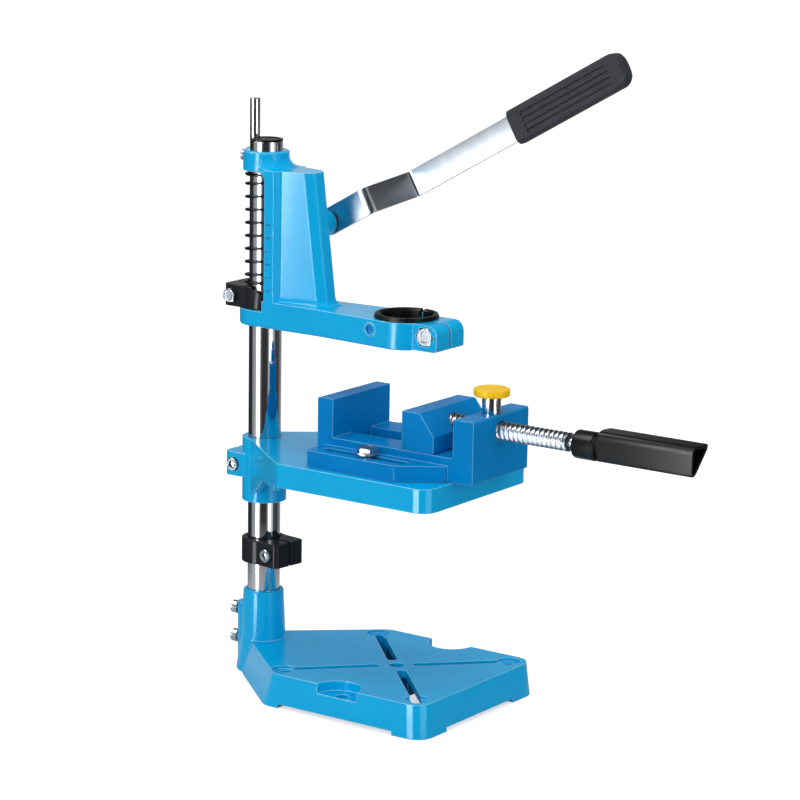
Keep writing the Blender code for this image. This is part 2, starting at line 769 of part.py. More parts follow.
def make_base(finish):
    """The base casting with its socket, rear rib, slots, notches and hollow underside."""
    floor, top = base_outlines()
    base = object_from(soften(loft([level(floor, 0.0), level(top, BASE_H)]), BASE_H, BASE_EDGE_R, 3),
                       "base_plate", finish)
    slope = (BASE_HALF_W - BASE_DRAFT - BASE_WAIST_X) / (BASE_HIP_F - BASE_WAIST_F)
    rear_x = BASE_WAIST_X + (BASE_POCKET_REAR_F - BASE_WAIST_F) * slope
    pocket_half = [
        (rear_x, -BASE_POCKET_REAR_F),
        (BASE_HALF_W - BASE_DRAFT, -BASE_HIP_F),
        (BASE_HALF_W - BASE_DRAFT, BASE_DRAFT - BASE_FRONT),
    ]
    whole = inset(mirrored(pocket_half), BASE_WALL)
    inner_r = BASE_CORNER_R - BASE_WALL
    pocket_outline = round_corners(whole, [inner_r] * len(whole), 3)
    pocket = helper(prism(pocket_outline, -OVERRUN, BASE_H - BASE_PLATE_T))
    keep = []
    for side in (-1, 1):
        keep.append(rod_between((side * (BASE_HALF_W - BASE_DRAFT), -NOTCH_F, -OVERRUN * 2),
                                (side * (BASE_HALF_W - BASE_DRAFT), -NOTCH_F, BASE_H),
                                NOTCH_R + BASE_WALL, ROUND_SEGS))
    for side in (-1, 1):
        for fore in (SLOT_REAR_F, SLOT_FRONT_F):
            keep.append(rod_between((side * slot_end_x(), -fore, BASE_RIB_Z),
                                    (side * slot_end_x(), -fore, BASE_H),
                                    SLOT_RECESS_R + SLOT_PAD_RIM, SMALL_SEGS))
    rib_half = BASE_RIB_T / 2
    keep.append(helper(block((-BASE_HALF_W, -BASE_CENTRE_F - rib_half - NOTCH_R, BASE_RIB_Z),
                             (BASE_HALF_W, -BASE_CENTRE_F + rib_half - NOTCH_R, BASE_H))))
    keep.append(helper(block((-BASE_HALF_W, -BASE_CENTRE_F - rib_half + NOTCH_R, BASE_RIB_Z),
                             (BASE_HALF_W, -BASE_CENTRE_F + rib_half + NOTCH_R, BASE_H))))
    keep.append(rod_between((0.0, -BASE_CENTRE_F, BASE_RIB_Z), (0.0, -BASE_CENTRE_F, BASE_H),
                            BASE_CENTRE_HOLE_R + SLOT_PAD_RIM, SMALL_SEGS))
    cut(pocket, *keep)
    cut(base, pocket)

    socket_profile = [
        (SOCKET_FOOT_R, 0.0),
        (SOCKET_FOOT_R, FOOT_RISE),
        (SOCKET_LOW_R + SEAT, BASE_H),
        (SOCKET_LOW_R, SOCKET_LOW_Z),
        (SOCKET_TOP_R, SOCKET_TOP_Z - SOCKET_RIM_R),
        (SOCKET_TOP_R - SOCKET_RIM_R / 3, SOCKET_TOP_Z - SOCKET_RIM_R / 3),
        (SOCKET_TOP_R - SOCKET_RIM_R, SOCKET_TOP_Z),
    ]
    socket = helper(turned(socket_profile))
    rib_outline = ([(REAR_RIB_HALF_W, 0.0)]
                   + arc((0.0, REAR_RIB_CENTRE_Y), REAR_RIB_HALF_W, 0.0, math.pi, ARC_STEPS * 2)
                   + [(-REAR_RIB_HALF_W, 0.0)])
    rib = helper(soften(prism(rib_outline, 0.0, REAR_RIB_TOP_Z), REAR_RIB_TOP_Z, REAR_RIB_EDGE_R))
    fuse(base, socket, rib)

    cutters = [rod_between((0.0, 0.0, COLUMN_BOTTOM_Z - SEAT), (0.0, 0.0, SOCKET_TOP_Z + OVERRUN),
                           COLUMN_R + SEAT, ROUND_SEGS)]
    for height in (SET_SCREW_UPPER_Z, SET_SCREW_LOWER_Z):
        rear = REAR_RIB_CENTRE_Y + REAR_RIB_HALF_W + OVERRUN
        cutters.append(rod_between((0.0, COLUMN_R - OVERRUN, height), (0.0, rear, height),
                                   M6_SHANK_R + SEAT))
    for side in (-1, 1):
        for fore, inner in ((SLOT_REAR_F, BASE_CENTRE_F - SLOT_INNER_DF),
                            (SLOT_FRONT_F, BASE_CENTRE_F + SLOT_INNER_DF)):
            outer = Vector((side * slot_end_x(), -fore))
            near = Vector((side * SLOT_INNER_X, -inner))
            cutters.append(helper(prism(capsule(outer, near, SLOT_W / 2), -OVERRUN, BASE_H + OVERRUN)))
            cutters.append(rod_between((outer.x, outer.y, BASE_H - SLOT_RECESS_DEPTH),
                                       (outer.x, outer.y, BASE_H + OVERRUN), SLOT_RECESS_R))
        edge = side * (BASE_HALF_W - BASE_DRAFT)
        cutters.append(rod_between((edge, -NOTCH_F, NOTCH_LEDGE_Z), (edge, -NOTCH_F, BASE_H + OVERRUN),
                                   NOTCH_R, ROUND_SEGS))
        hole_x = side * (BASE_HALF_W - NOTCH_HOLE_MARGIN)
        cutters.append(rod_between((hole_x, -BASE_CENTRE_F, -OVERRUN), (hole_x, -BASE_CENTRE_F, BASE_H),
                                   NOTCH_HOLE_R))
    cutters.append(rod_between((0.0, -BASE_CENTRE_F, -OVERRUN), (0.0, -BASE_CENTRE_F, BASE_H + OVERRUN),
                               BASE_CENTRE_HOLE_R))
    wide = BASE_HALF_W + OVERRUN
    cutters.append(helper(block((-wide, -FOOT_SIDE_FRONT_F, -OVERRUN), (wide, -FOOT_SIDE_REAR_F, FOOT_RISE))))
    cutters.append(helper(block((-FOOT_FRONT_HALF, -BASE_FRONT - OVERRUN, -OVERRUN),
                                (FOOT_FRONT_HALF, BASE_CORNER_R - BASE_FRONT, FOOT_RISE))))
    cut(base, *cutters)
    return base


def capsule(start, end, radius):
    """A slot outline with round ends between two points."""
    along = (end - start).normalized()
    heading = math.atan2(along.y, along.x)
    return (arc(end, radius, heading - math.pi / 2, heading + math.pi / 2, ARC_STEPS * 2)
            + arc(start, radius, heading + math.pi / 2, heading + math.pi * 1.5, ARC_STEPS * 2))


def make_column(materials):
    """The tube, its end cap and the two set screws that hold it in the base."""
    bore = COLUMN_R - COLUMN_WALL
    tube_profile = [(COLUMN_R, COLUMN_BOTTOM_Z), (COLUMN_R, COLUMN_TOP_Z), (bore, COLUMN_TOP_Z),
                    (bore, COLUMN_BOTTOM_Z)]
    object_from(turned(tube_profile, cyclic=True), "column_tube", materials["chrome"])
    cap_bottom = COLUMN_TOP_Z + SEAT
    cap_profile = [
        (bore - SEAT - CAP_EDGE, COLUMN_TOP_Z - CAP_PLUG_LENGTH),
        (bore - SEAT, COLUMN_TOP_Z - CAP_PLUG_LENGTH + CAP_EDGE),
        (bore - SEAT, cap_bottom),
        (COLUMN_R, cap_bottom),
        (COLUMN_R, cap_bottom + CAP_FLANGE_T - CAP_EDGE),
        (COLUMN_R - CAP_EDGE, cap_bottom + CAP_FLANGE_T),
    ]
    object_from(turned(cap_profile), "column_cap", materials["black"])
    seat_y = REAR_RIB_CENTRE_Y + REAR_RIB_HALF_W + SEAT
    length = seat_y - COLUMN_R - SEAT
    for name, height in (("base_set_screw_upper", SET_SCREW_UPPER_Z),
                         ("base_set_screw_lower", SET_SCREW_LOWER_Z)):
        screw = socket_screw(name, M6_SHANK_R, length, M6_HEAD_R, M6_HEAD_H, M6_KEY_AF,
                             M6_KEY_DEPTH, materials["zinc"])
        aim(screw, (0.0, seat_y, height), (0.0, 1.0, 0.0))


# Clamp collars

def clamp_outline(slit):
    """Ring and block of a split collar, opened at the front by the slit (the block lies fore)."""
    bore = COLUMN_R + RUNNING
    half = slit / 2
    join = math.sqrt(COLLAR_RING_R ** 2 - COLLAR_BLOCK_HALF ** 2)
    start = math.atan2(-join, COLLAR_BLOCK_HALF)
    sweep = math.pi - 2 * start
    points = arc((0.0, 0.0), COLLAR_RING_R, start, start + sweep, ARC_STEPS * 5)
    corner = round_corners([
        (-COLLAR_BLOCK_HALF, -join - COLLAR_BLOCK_CORNER),
        (-COLLAR_BLOCK_HALF, -COLLAR_BLOCK_REACH),
        (-half, -COLLAR_BLOCK_REACH),
    ], [0, COLLAR_BLOCK_CORNER, 0])[1:]
    points += corner
    gap = math.asin(half / bore)
    points += arc((0.0, 0.0), bore, math.pi * 1.5 - gap, gap - math.pi / 2, ROUND_SEGS)
    points += [(-x, y) for x, y in reversed(corner)]
    return points


def make_stop_collar(materials):
    """The split collar that the table can rest on, with its clamp screw."""
    top = STOP_COLLAR_Z + STOP_COLLAR_H
    bm = prism(clamp_outline(COLLAR_SLIT), STOP_COLLAR_Z, top)
    soften(bm, STOP_COLLAR_Z, COLLAR_EDGE_R)
    soften(bm, top, COLLAR_EDGE_R)
    collar = object_from(bm, "stop_collar", materials["collar"])
    screw_z = STOP_COLLAR_Z + STOP_COLLAR_H / 2
    seat_x = STOP_COUNTERBORE_DEPTH - COLLAR_BLOCK_HALF
    hole = rod_between((seat_x - OVERRUN, -STOP_SCREW_F, screw_z), (STOP_SCREW_ENGAGE, -STOP_SCREW_F, screw_z),
                       M6_SHANK_R + SEAT)
    sink = rod_between((-COLLAR_BLOCK_HALF - OVERRUN, -STOP_SCREW_F, screw_z),
                       (seat_x, -STOP_SCREW_F, screw_z), M6_HEAD_R + COUNTERBORE_CLEARANCE)
    cut(collar, hole, sink)
    screw = socket_screw("stop_collar_screw", M6_SHANK_R, STOP_SCREW_ENGAGE - seat_x - SEAT, M6_HEAD_R,
                         M6_HEAD_H, M6_KEY_AF, M6_KEY_DEPTH, materials["zinc"])
    aim(screw, (seat_x - SEAT, -STOP_SCREW_F, screw_z), (-1.0, 0.0, 0.0))
    turn = Matrix.Rotation(STOP_COLLAR_YAW, 4, 'Z')
    for made in (collar, screw):
        made.matrix_world = turn @ made.matrix_world


# Table

def table_half():
    """The +X half of the table's outline, rear to front."""
    return [
        (TABLE_WAIST_X, TABLE_WAIST_Y),
        (TABLE_HALF_W, -TABLE_SHOULDER_F),
        (TABLE_HALF_W, -TABLE_FRONT),
    ]


def make_table(materials):
    """The table casting with its socket, webs, split ears and hollow underside."""
    radii = [0, TABLE_SHOULDER_R, TABLE_CORNER_R]
    outline = round_corners(mirrored(table_half()), radii[::-1] + radii)
    skirt_z = TABLE_TOP_Z - TABLE_SKIRT_H
    bm = prism(outline, skirt_z, TABLE_TOP_Z)
    soften(bm, TABLE_TOP_Z, TABLE_EDGE_R, 3)
    table = object_from(bm, "table_plate", materials["paint"])

    waist = Vector((TABLE_WAIST_X, TABLE_WAIST_Y))
    shoulder = Vector((TABLE_HALF_W, -TABLE_SHOULDER_F))
    along = (shoulder - waist).normalized()
    slope = along.x / -along.y
    rear_x = TABLE_WAIST_X + (TABLE_POCKET_REAR_F + TABLE_WAIST_Y) * slope
    pocket_half = [
        (rear_x, -TABLE_POCKET_REAR_F),
        (TABLE_HALF_W, -TABLE_SHOULDER_F),
        (TABLE_HALF_W, -TABLE_FRONT),
    ]
    whole = inset(mirrored(pocket_half), TABLE_WALL)
    inner_r = TABLE_CORNER_R - TABLE_WALL
    pocket = helper(prism(round_corners(whole, [inner_r] * len(whole), 3), skirt_z - OVERRUN,
                          TABLE_TOP_Z - TABLE_PLATE_T))
    rib_half = TABLE_RIB_T / 2
    rib_z = skirt_z + TABLE_SKIRT_H / 3
    keep = [helper(block((-TABLE_HALF_W, -TABLE_RIB_F - rib_half, rib_z),
                         (TABLE_HALF_W, -TABLE_RIB_F + rib_half, TABLE_TOP_Z))),
            helper(block((-rib_half, -TABLE_RIB_F, rib_z),
                         (rib_half, -TABLE_POCKET_REAR_F + OVERRUN, TABLE_TOP_Z)))]
    cut(pocket, *keep)
    cut(table, pocket)

    parts = [helper(turned([(TABLE_SOCKET_R, TABLE_SOCKET_BOTTOM_Z), (TABLE_SOCKET_R, TABLE_TOP_Z)]))]
    for side in (-1, 1):
        inward = Vector((-along.y, along.x)) * -1
        run = [
            (Vector((COLUMN_R, TABLE_WAIST_Y - (COLUMN_R - TABLE_WAIST_X) / slope)), TABLE_WEB_ROOT_Z - TABLE_EDGE_R),
            (waist + along * ((TABLE_WEB_ROOT_X - TABLE_WAIST_X) / along.x), TABLE_WEB_ROOT_Z),
            (waist + along * ((TABLE_WEB_ARCH_X - TABLE_WAIST_X) / along.x), TABLE_WEB_ARCH_Z),
            (shoulder - along * TABLE_SHOULDER_R, TABLE_WEB_ARCH_Z),
            (shoulder - along * TABLE_SHOULDER_R, skirt_z),
        ]
        roof = TABLE_TOP_Z - TABLE_EDGE_R
        ring_points = run + [(run[-1][0], roof), (run[0][0], roof)]
        outer = [Vector((side * p.x, p.y, z)) for p, z in ring_points]
        inner = [Vector((side * (p.x + inward.x * TABLE_WEB_T), p.y + inward.y * TABLE_WEB_T, z))
                 for p, z in ring_points]
        parts.append(helper(loft([outer, inner])))
    ear_outline = round_corners([
        (-TABLE_EAR_HALF, 0.0), (TABLE_EAR_HALF, 0.0),
        (TABLE_EAR_HALF, TABLE_EAR_REACH), (-TABLE_EAR_HALF, TABLE_EAR_REACH),
    ], [0, 0, TABLE_EAR_CORNER, TABLE_EAR_CORNER])
    ears = prism(ear_outline, TABLE_EAR_BOTTOM_Z, TABLE_EAR_TOP_Z)
    soften(ears, TABLE_EAR_TOP_Z, COLLAR_EDGE_R)
    parts.append(helper(ears))
    fuse(table, *parts)

    seat_x = TABLE_SCREW_SINK - TABLE_EAR_HALF
    cutters = [
        rod_between((0.0, 0.0, TABLE_SOCKET_BOTTOM_Z - OVERRUN), (0.0, 0.0, TABLE_TOP_Z + OVERRUN),
                    COLUMN_R + RUNNING, ROUND_SEGS),
        helper(block((-TABLE_SLIT / 2, 0.0, TABLE_EAR_BOTTOM_Z - OVERRUN),
                     (TABLE_SLIT / 2, TABLE_EAR_REACH + OVERRUN, TABLE_EAR_TOP_Z + OVERRUN))),
        rod_between((seat_x - OVERRUN, TABLE_SCREW_Y, TABLE_SCREW_Z),
                    (TABLE_SCREW_ENGAGE, TABLE_SCREW_Y, TABLE_SCREW_Z), M6_SHANK_R + SEAT),
        rod_between((-TABLE_EAR_HALF - OVERRUN, TABLE_SCREW_Y, TABLE_SCREW_Z),
                    (seat_x, TABLE_SCREW_Y, TABLE_SCREW_Z), M6_HEAD_R + COUNTERBORE_CLEARANCE),
        rod_between((0.0, -ARM_RING_F, skirt_z), (0.0, -ARM_RING_F, TABLE_TOP_Z + OVERRUN),
                    TABLE_CENTRE_HOLE_R),
    ]
    for side in (-1, 1):
        cutters.append(rod_between((side * VISE_SLOT_X, -VISE_BOLT_F, skirt_z),
                                   (side * VISE_SLOT_X, -VISE_BOLT_F, TABLE_TOP_Z + OVERRUN),
                                   M8_SHANK_R + SEAT))
    cut(table, *cutters)
    screw = socket_screw("table_clamp_screw", M6_SHANK_R, TABLE_SCREW_ENGAGE - seat_x - SEAT, M6_HEAD_R,
                         M6_HEAD_H, M6_KEY_AF, M6_KEY_DEPTH, materials["zinc"])
    aim(screw, (seat_x - SEAT, TABLE_SCREW_Y, TABLE_SCREW_Z), (-1.0, 0.0, 0.0))


# Vise

def vise_bottom():
    """Height of the vise's underside, which rests on the table."""
    return TABLE_TOP_Z + SEAT


def vise_screw_z():
    """Height of the vise screw's axis."""
    return vise_bottom() + VISE_SCREW_H - SEAT


def release_f():
    """Fore distance of the release plunger, in the middle of the front block."""
    return (block_rear_f() + block_front_f()) / 2


def jaw_back_f():
    """Fore distance of the moving jaw's back."""
    return JAW_FACE_F + JAW_DEPTH


def block_rear_f():
    """Fore distance of the front block's rear face, clear of the moving jaw."""
    return jaw_back_f() + VISE_BLOCK_GAP


def block_front_f():
    """Fore distance of the front block's front face."""
    return block_rear_f() + VISE_BLOCK_T


def make_vise(materials):
    """The vise body with its bolts, nuts and release plunger."""
    floor = vise_bottom()
    flange_half = [
        (VISE_FLANGE_HALF, -VISE_FLANGE_REAR_F),
        (VISE_FLANGE_HALF, -VISE_FLANGE_SIDE_F),
        (VISE_FLANGE_NOSE_X, -VISE_FLANGE_NOSE_F),
    ]
    radii = [VISE_FLANGE_CORNER] * 3
    bm = prism(round_corners(mirrored(flange_half), radii + radii), floor, floor + VISE_FLANGE_H)
    soften(bm, floor + VISE_FLANGE_H, VISE_FLANGE_EDGE_R)
    body = object_from(bm, "vise_body", materials["vise_paint"])
    jaw_top = floor + VISE_JAW_TOP_H
    rail_top = floor + VISE_RAIL_H
    side_outline = round_corners([
        (VISE_FIXED_REAR_F, floor), (block_front_f(), floor),
        (block_front_f(), jaw_top), (block_rear_f(), jaw_top),
        (block_rear_f(), rail_top), (VISE_FIXED_FACE_F, rail_top),
        (VISE_FIXED_FACE_F, jaw_top), (VISE_FIXED_REAR_F, jaw_top),
    ], [0, VISE_BLOCK_EDGE_R, VISE_BLOCK_EDGE_R, VISE_BLOCK_EDGE_R, 0, 0, 0, VISE_BLOCK_EDGE_R], 2)
    fuse(body, helper(side_prism(side_outline, VISE_RAIL_HALF)))

    screw_z = vise_screw_z()
    plunger_y = -release_f()
    cutters = [
        helper(block((-VISE_CHANNEL_HALF, -block_rear_f(), floor - OVERRUN),
                     (VISE_CHANNEL_HALF, -VISE_FIXED_FACE_F, floor + VISE_RAIL_H + OVERRUN))),
        helper(block((-VISE_KEEPER_HALF, -block_rear_f(), floor - OVERRUN),
                     (VISE_KEEPER_HALF, -VISE_FIXED_FACE_F, floor + VISE_KEEPER_DEPTH))),
        rod_between((0.0, -block_rear_f() + OVERRUN, screw_z), (0.0, -block_front_f() - OVERRUN, screw_z),
                    VISE_SCREW_R + RUNNING, ROUND_SEGS),
        rod_between((0.0, plunger_y, screw_z), (0.0, plunger_y, jaw_top + OVERRUN),
                    RELEASE_BORE_R + RUNNING),
        rod_between((0.0, plunger_y, jaw_top - RELEASE_SPIGOT_DEPTH), (0.0, plunger_y, jaw_top + OVERRUN),
                    RELEASE_SPIGOT_R + SEAT),
    ]
    for side in (-1, 1):
        rear = Vector((side * VISE_SLOT_X, -VISE_SLOT_REAR_F - VISE_SLOT_W / 2))
        fore = Vector((side * VISE_SLOT_X, -VISE_SLOT_FRONT_F + VISE_SLOT_W / 2))
        cutters.append(helper(prism(capsule(rear, fore, VISE_SLOT_W / 2), floor - OVERRUN,
                                    floor + VISE_FLANGE_H + OVERRUN)))
    cut(body, *cutters)

    seat_z = floor + VISE_FLANGE_H + SEAT
    nut_top = TABLE_TOP_Z - TABLE_PLATE_T - SEAT
    length = seat_z - nut_top + M8_NUT_H + M8_SHANK_R / 2
    for side, word in ((-1, "near"), (1, "far")):
        bolt = hex_bolt("vise_bolt_" + word, M8_SHANK_R, length, M8_HEX_AF, M8_HEX_H + M8_FLANGE_T,
                        materials["zinc"], M8_FLANGE_R, M8_FLANGE_T)
        bolt.location = (side * VISE_SLOT_X, -VISE_BOLT_F, seat_z)
        nut = hex_nut("vise_nut_" + word, M8_SHANK_R + SEAT, M8_HEX_AF, M8_NUT_H, materials["zinc"])
        nut.location = (side * VISE_SLOT_X, -VISE_BOLT_F, nut_top - M8_NUT_H)
    make_release(materials, jaw_top, screw_z)


def make_release(materials, block_top, screw_z):
    """Sleeve, spring-loaded half-nut plunger and pull knob on the front block."""
    sleeve_profile = [
        (RELEASE_SPIGOT_R, block_top - RELEASE_SPIGOT_DEPTH + SEAT),
        (RELEASE_SPIGOT_R, block_top + SEAT),
        (RELEASE_SLEEVE_R, block_top + SEAT),
        (RELEASE_SLEEVE_R, block_top + RELEASE_SLEEVE_TOP_H - CAP_EDGE),
        (RELEASE_SLEEVE_R - CAP_EDGE, block_top + RELEASE_SLEEVE_TOP_H),
        (RELEASE_STEM_R + RUNNING, block_top + RELEASE_SLEEVE_TOP_H),
        (RELEASE_STEM_R + RUNNING, block_top + RELEASE_SLEEVE_TOP_H - RELEASE_ROOF_T),
        (RELEASE_BORE_R, block_top + RELEASE_SLEEVE_TOP_H - RELEASE_ROOF_T),
        (RELEASE_BORE_R, block_top - RELEASE_SPIGOT_DEPTH + SEAT),
    ]
    sleeve = object_from(turned(sleeve_profile, SMALL_SEGS, cyclic=True), "release_sleeve", materials["chrome"])
    knob_bottom = block_top + RELEASE_SLEEVE_TOP_H + RELEASE_KNOB_GAP
    foot_top = screw_z + VISE_SCREW_R + RELEASE_FOOT_H
    stem_top = knob_bottom + RELEASE_STEM_IN_KNOB
    foot_r = RELEASE_BORE_R - RUNNING
    plunger = object_from(turned([
        (foot_r, screw_z), (foot_r, foot_top), (RELEASE_STEM_R, foot_top), (RELEASE_STEM_R, stem_top),
    ], SMALL_SEGS), "release_plunger", materials["zinc"])
    cut(plunger, rod_between((0.0, foot_r + OVERRUN, screw_z), (0.0, -foot_r - OVERRUN, screw_z),
                             VISE_SCREW_R + RUNNING, ROUND_SEGS))
    knob = object_from(turned([
        (RELEASE_STEM_R + SEAT, knob_bottom),
        (RELEASE_KNOB_R - RELEASE_KNOB_EDGE, knob_bottom),
        (RELEASE_KNOB_R, knob_bottom + RELEASE_KNOB_EDGE),
        (RELEASE_KNOB_R, knob_bottom + RELEASE_KNOB_T - RELEASE_KNOB_EDGE),
        (RELEASE_KNOB_R - RELEASE_KNOB_EDGE, knob_bottom + RELEASE_KNOB_T),
        (RELEASE_KNOB_EDGE, knob_bottom + RELEASE_KNOB_T),
    ]), "release_knob", materials["yellow"])
    cut(knob, rod_between((0.0, 0.0, knob_bottom - OVERRUN), (0.0, 0.0, stem_top + SEAT),
                          RELEASE_STEM_R + SEAT))
    roof = block_top + RELEASE_SLEEVE_TOP_H - RELEASE_ROOF_T
    low = foot_top + SEAT + RELEASE_WIRE_R
    high = roof - SEAT - RELEASE_WIRE_R
    points = []
    for index in range(RELEASE_TURNS * TURN_POINTS + 1):
        share = index / (RELEASE_TURNS * TURN_POINTS)
        angle = math.tau * RELEASE_TURNS * share
        points.append((RELEASE_COIL_R * math.cos(angle), RELEASE_COIL_R * math.sin(angle),
                       low + (high - low) * share))
    spring = tube(points, RELEASE_WIRE_R, "release_spring", materials["spring"])
    for made in (sleeve, plunger, knob, spring):
        made.location = (0.0, -release_f(), 0.0)


def make_moving_jaw(materials):
    """The moving jaw with its keel, keeper plate and screws."""
    floor = vise_bottom()
    jaw_bottom = floor + VISE_RAIL_H + RUNNING
    jaw_top = floor + VISE_JAW_TOP_H
    back_f = jaw_back_f()
    keel_rear = JAW_FACE_F + JAW_KEEL_SETBACK
    keel_front = back_f - JAW_KEEL_INSET
    outline = round_corners([
        (JAW_FACE_F, jaw_bottom), (back_f, jaw_bottom), (back_f, jaw_top - JAW_BACK_H),
        (JAW_FACE_F + JAW_TOP_DEPTH, jaw_top), (JAW_FACE_F, jaw_top),
    ], [0, JAW_EDGE_R, JAW_EDGE_R, JAW_EDGE_R, 0], 2)
    jaw = object_from(side_prism(outline, VISE_RAIL_HALF), "moving_jaw", materials["vise_paint"])
    keel_half = VISE_CHANNEL_HALF - RUNNING
    keel_bottom = floor + VISE_KEEPER_DEPTH - RUNNING
    fuse(jaw, helper(block((-keel_half, -keel_front, keel_bottom),
                           (keel_half, -keel_rear, jaw_bottom + OVERRUN))))
    screw_z = vise_screw_z()
    pocket_end = back_f - JAW_POCKET_DEPTH
    journal_end = pocket_end - VISE_JOURNAL_LENGTH
    cutters = [
        rod_between((0.0, -pocket_end, screw_z), (0.0, -back_f - OVERRUN * 2, screw_z), JAW_POCKET_R),
        rod_between((0.0, -journal_end, screw_z), (0.0, -pocket_end - OVERRUN, screw_z),
                    VISE_JOURNAL_R + RUNNING),
    ]
    screw_places = (keel_rear + KEEPER_SCREW_INSET, keel_front - KEEPER_SCREW_INSET)
    for fore in screw_places:
        cutters.append(rod_between((0.0, -fore, keel_bottom - OVERRUN),
                                   (0.0, -fore, floor + KEEPER_LIFT + KEEPER_SCREW_LENGTH + SEAT),
                                   KEEPER_SCREW_R + SEAT))
    cut(jaw, *cutters)

    keeper_bottom = floor + KEEPER_LIFT
    keeper_half = VISE_KEEPER_HALF - RUNNING
    keeper = object_from(block((-keeper_half, -keel_front, keeper_bottom),
                               (keeper_half, -keel_rear, keeper_bottom + KEEPER_T)),
                         "jaw_keeper_plate", materials["zinc"], smooth=False)
    holes = []
    for fore, word in zip(screw_places, ("rear", "front")):
        sink = helper(turned([
            (KEEPER_SCREW_HEAD_R + SEAT, -OVERRUN),
            (KEEPER_SCREW_HEAD_R + SEAT, 0.0),
            (KEEPER_SCREW_R + SEAT, KEEPER_SCREW_HEAD_T),
            (KEEPER_SCREW_R + SEAT, KEEPER_T + OVERRUN),
        ], SMALL_SEGS))
        sink.location = (0.0, -fore, keeper_bottom)
        holes.append(sink)
        screw = object_from(turned([
            (KEEPER_SCREW_HEAD_R, 0.0),
            (KEEPER_SCREW_R, KEEPER_SCREW_HEAD_T),
            (KEEPER_SCREW_R, KEEPER_SCREW_LENGTH - SCREW_EDGE),
            (KEEPER_SCREW_R - SCREW_EDGE, KEEPER_SCREW_LENGTH),
        ], SMALL_SEGS), "keeper_screw_" + word, materials["zinc"])
        screw.location = (0.0, -fore, keeper_bottom)
    cut(keeper, *holes)


def handle_outline(inset_by=0.0):
    """The handle's rounded triangle, flat side up, in (x, height from the screw's axis)."""
    corners = [(HANDLE_TOP_HALF, HANDLE_RISE), (-HANDLE_TOP_HALF, HANDLE_RISE), (0.0, -HANDLE_DROP - HANDLE_ROUND / 2)]
    radii = [HANDLE_ROUND, HANDLE_ROUND, HANDLE_ROUND]
    if inset_by > 0:
        corners = inset(corners, inset_by)
        radii = [HANDLE_ROUND - inset_by] * 3
    return round_corners(corners, radii, ARC_STEPS)


def make_vise_screw(materials):
    """The vise screw and its hollow handle, both about the screw's axis."""
    screw_z = vise_screw_z()
    start_f = jaw_back_f() - JAW_POCKET_DEPTH + RUNNING
    journal_f = start_f - VISE_JOURNAL_LENGTH
    tang_f = VISE_NECK_END_F + VISE_TANG_LENGTH
    profile = [
        (VISE_JOURNAL_R - VISE_SCREW_EDGE, journal_f),
        (VISE_JOURNAL_R, journal_f + VISE_SCREW_EDGE),
        (VISE_JOURNAL_R, start_f),
        (VISE_SCREW_R - VISE_SCREW_EDGE, start_f),
        (VISE_SCREW_R, start_f + VISE_SCREW_EDGE),
        (VISE_SCREW_R, VISE_SCREW_END_F - VISE_SCREW_EDGE),
        (VISE_SCREW_R - VISE_SCREW_EDGE, VISE_SCREW_END_F),
        (VISE_NECK_R, VISE_SCREW_END_F),
        (VISE_NECK_R, VISE_NECK_END_F),
        (VISE_NECK_R, tang_f),
    ]
    screw = object_from(turned(profile, ROUND_SEGS), "vise_screw", materials["zinc"])
    aim(screw, (0.0, 0.0, screw_z), (0.0, -1.0, 0.0))

    outline = handle_outline()
    grip = loft([[Vector((x, -fore, screw_z + h)) for x, h in outline]
                 for fore in (HANDLE_COLLAR_END_F, HANDLE_END_F)])
    for vert in grip.verts:
        if -vert.co.y > HANDLE_END_F - SEAT:
            drop = (HANDLE_RISE - (vert.co.z - screw_z)) / (HANDLE_RISE + HANDLE_DROP)
            vert.co.y += HANDLE_MOUTH_SLANT * drop
    handle = object_from(grip, "vise_handle", materials["black"])
    inner = handle_outline(HANDLE_WALL)
    hollow = helper(loft([[Vector((x, -fore, screw_z + h)) for x, h in inner]
                          for fore in (HANDLE_FLOOR_F, HANDLE_END_F + OVERRUN)]))
    cut(handle, hollow)
    collar = rod_between((0.0, -VISE_NECK_END_F, screw_z), (0.0, -HANDLE_COLLAR_END_F - SEAT, screw_z),
                         HANDLE_COLLAR_R, ROUND_SEGS)
    fuse(handle, collar)
    cut(handle, rod_between((0.0, -VISE_NECK_END_F + OVERRUN, screw_z),
                            (0.0, -tang_f - SEAT, screw_z), VISE_NECK_R + SEAT))


# Head casting

def housing_half(front, spread=0.0):
    """The +X half of the housing's outline for a given front distance, rear to front.

    The spread moves the panel, the cheek and the nose outwards, as the flare at the foot does.
    """
    cheek_f = front - HOUSING_CHEEK_BACK
    return [
        (HOUSING_FLANGE_HALF, HOUSING_FLANGE_REAR_Y),
        (HOUSING_FLANGE_HALF, -HOUSING_FLANGE_FRONT_F),
        (HOUSING_PANEL_X + spread * PANEL_FLARE_SHARE, -HOUSING_PANEL_F),
        (HOUSING_CHEEK_X + spread * PANEL_FLARE_SHARE, -cheek_f - spread * CHEEK_FLARE_SHARE),
        (HOUSING_NOSE_X + spread * NOSE_FLARE_SHARE, -front - spread),
    ]


def housing_rings(foot):
    """The housing's outlines from below the arm's top through the flared foot to its own top."""
    radius = HOUSING_FOOT_FLARE
    steps = [(foot - ARM_EDGE_R, radius)]
    for spread, rise in arc((radius, radius), radius, math.pi * 1.5, math.pi, ARC_STEPS):
        steps.append((foot + rise, spread))
    steps.append((HOUSING_TOP_Z, 0.0))
    radii = [0, HOUSING_STEP_R, HOUSING_STEP_R, HOUSING_CORNER_R, HOUSING_CORNER_R]
    return [level(round_corners(mirrored(housing_half(front_at(h), s)), radii[::-1] + radii, 3), h)
            for h, s in steps]


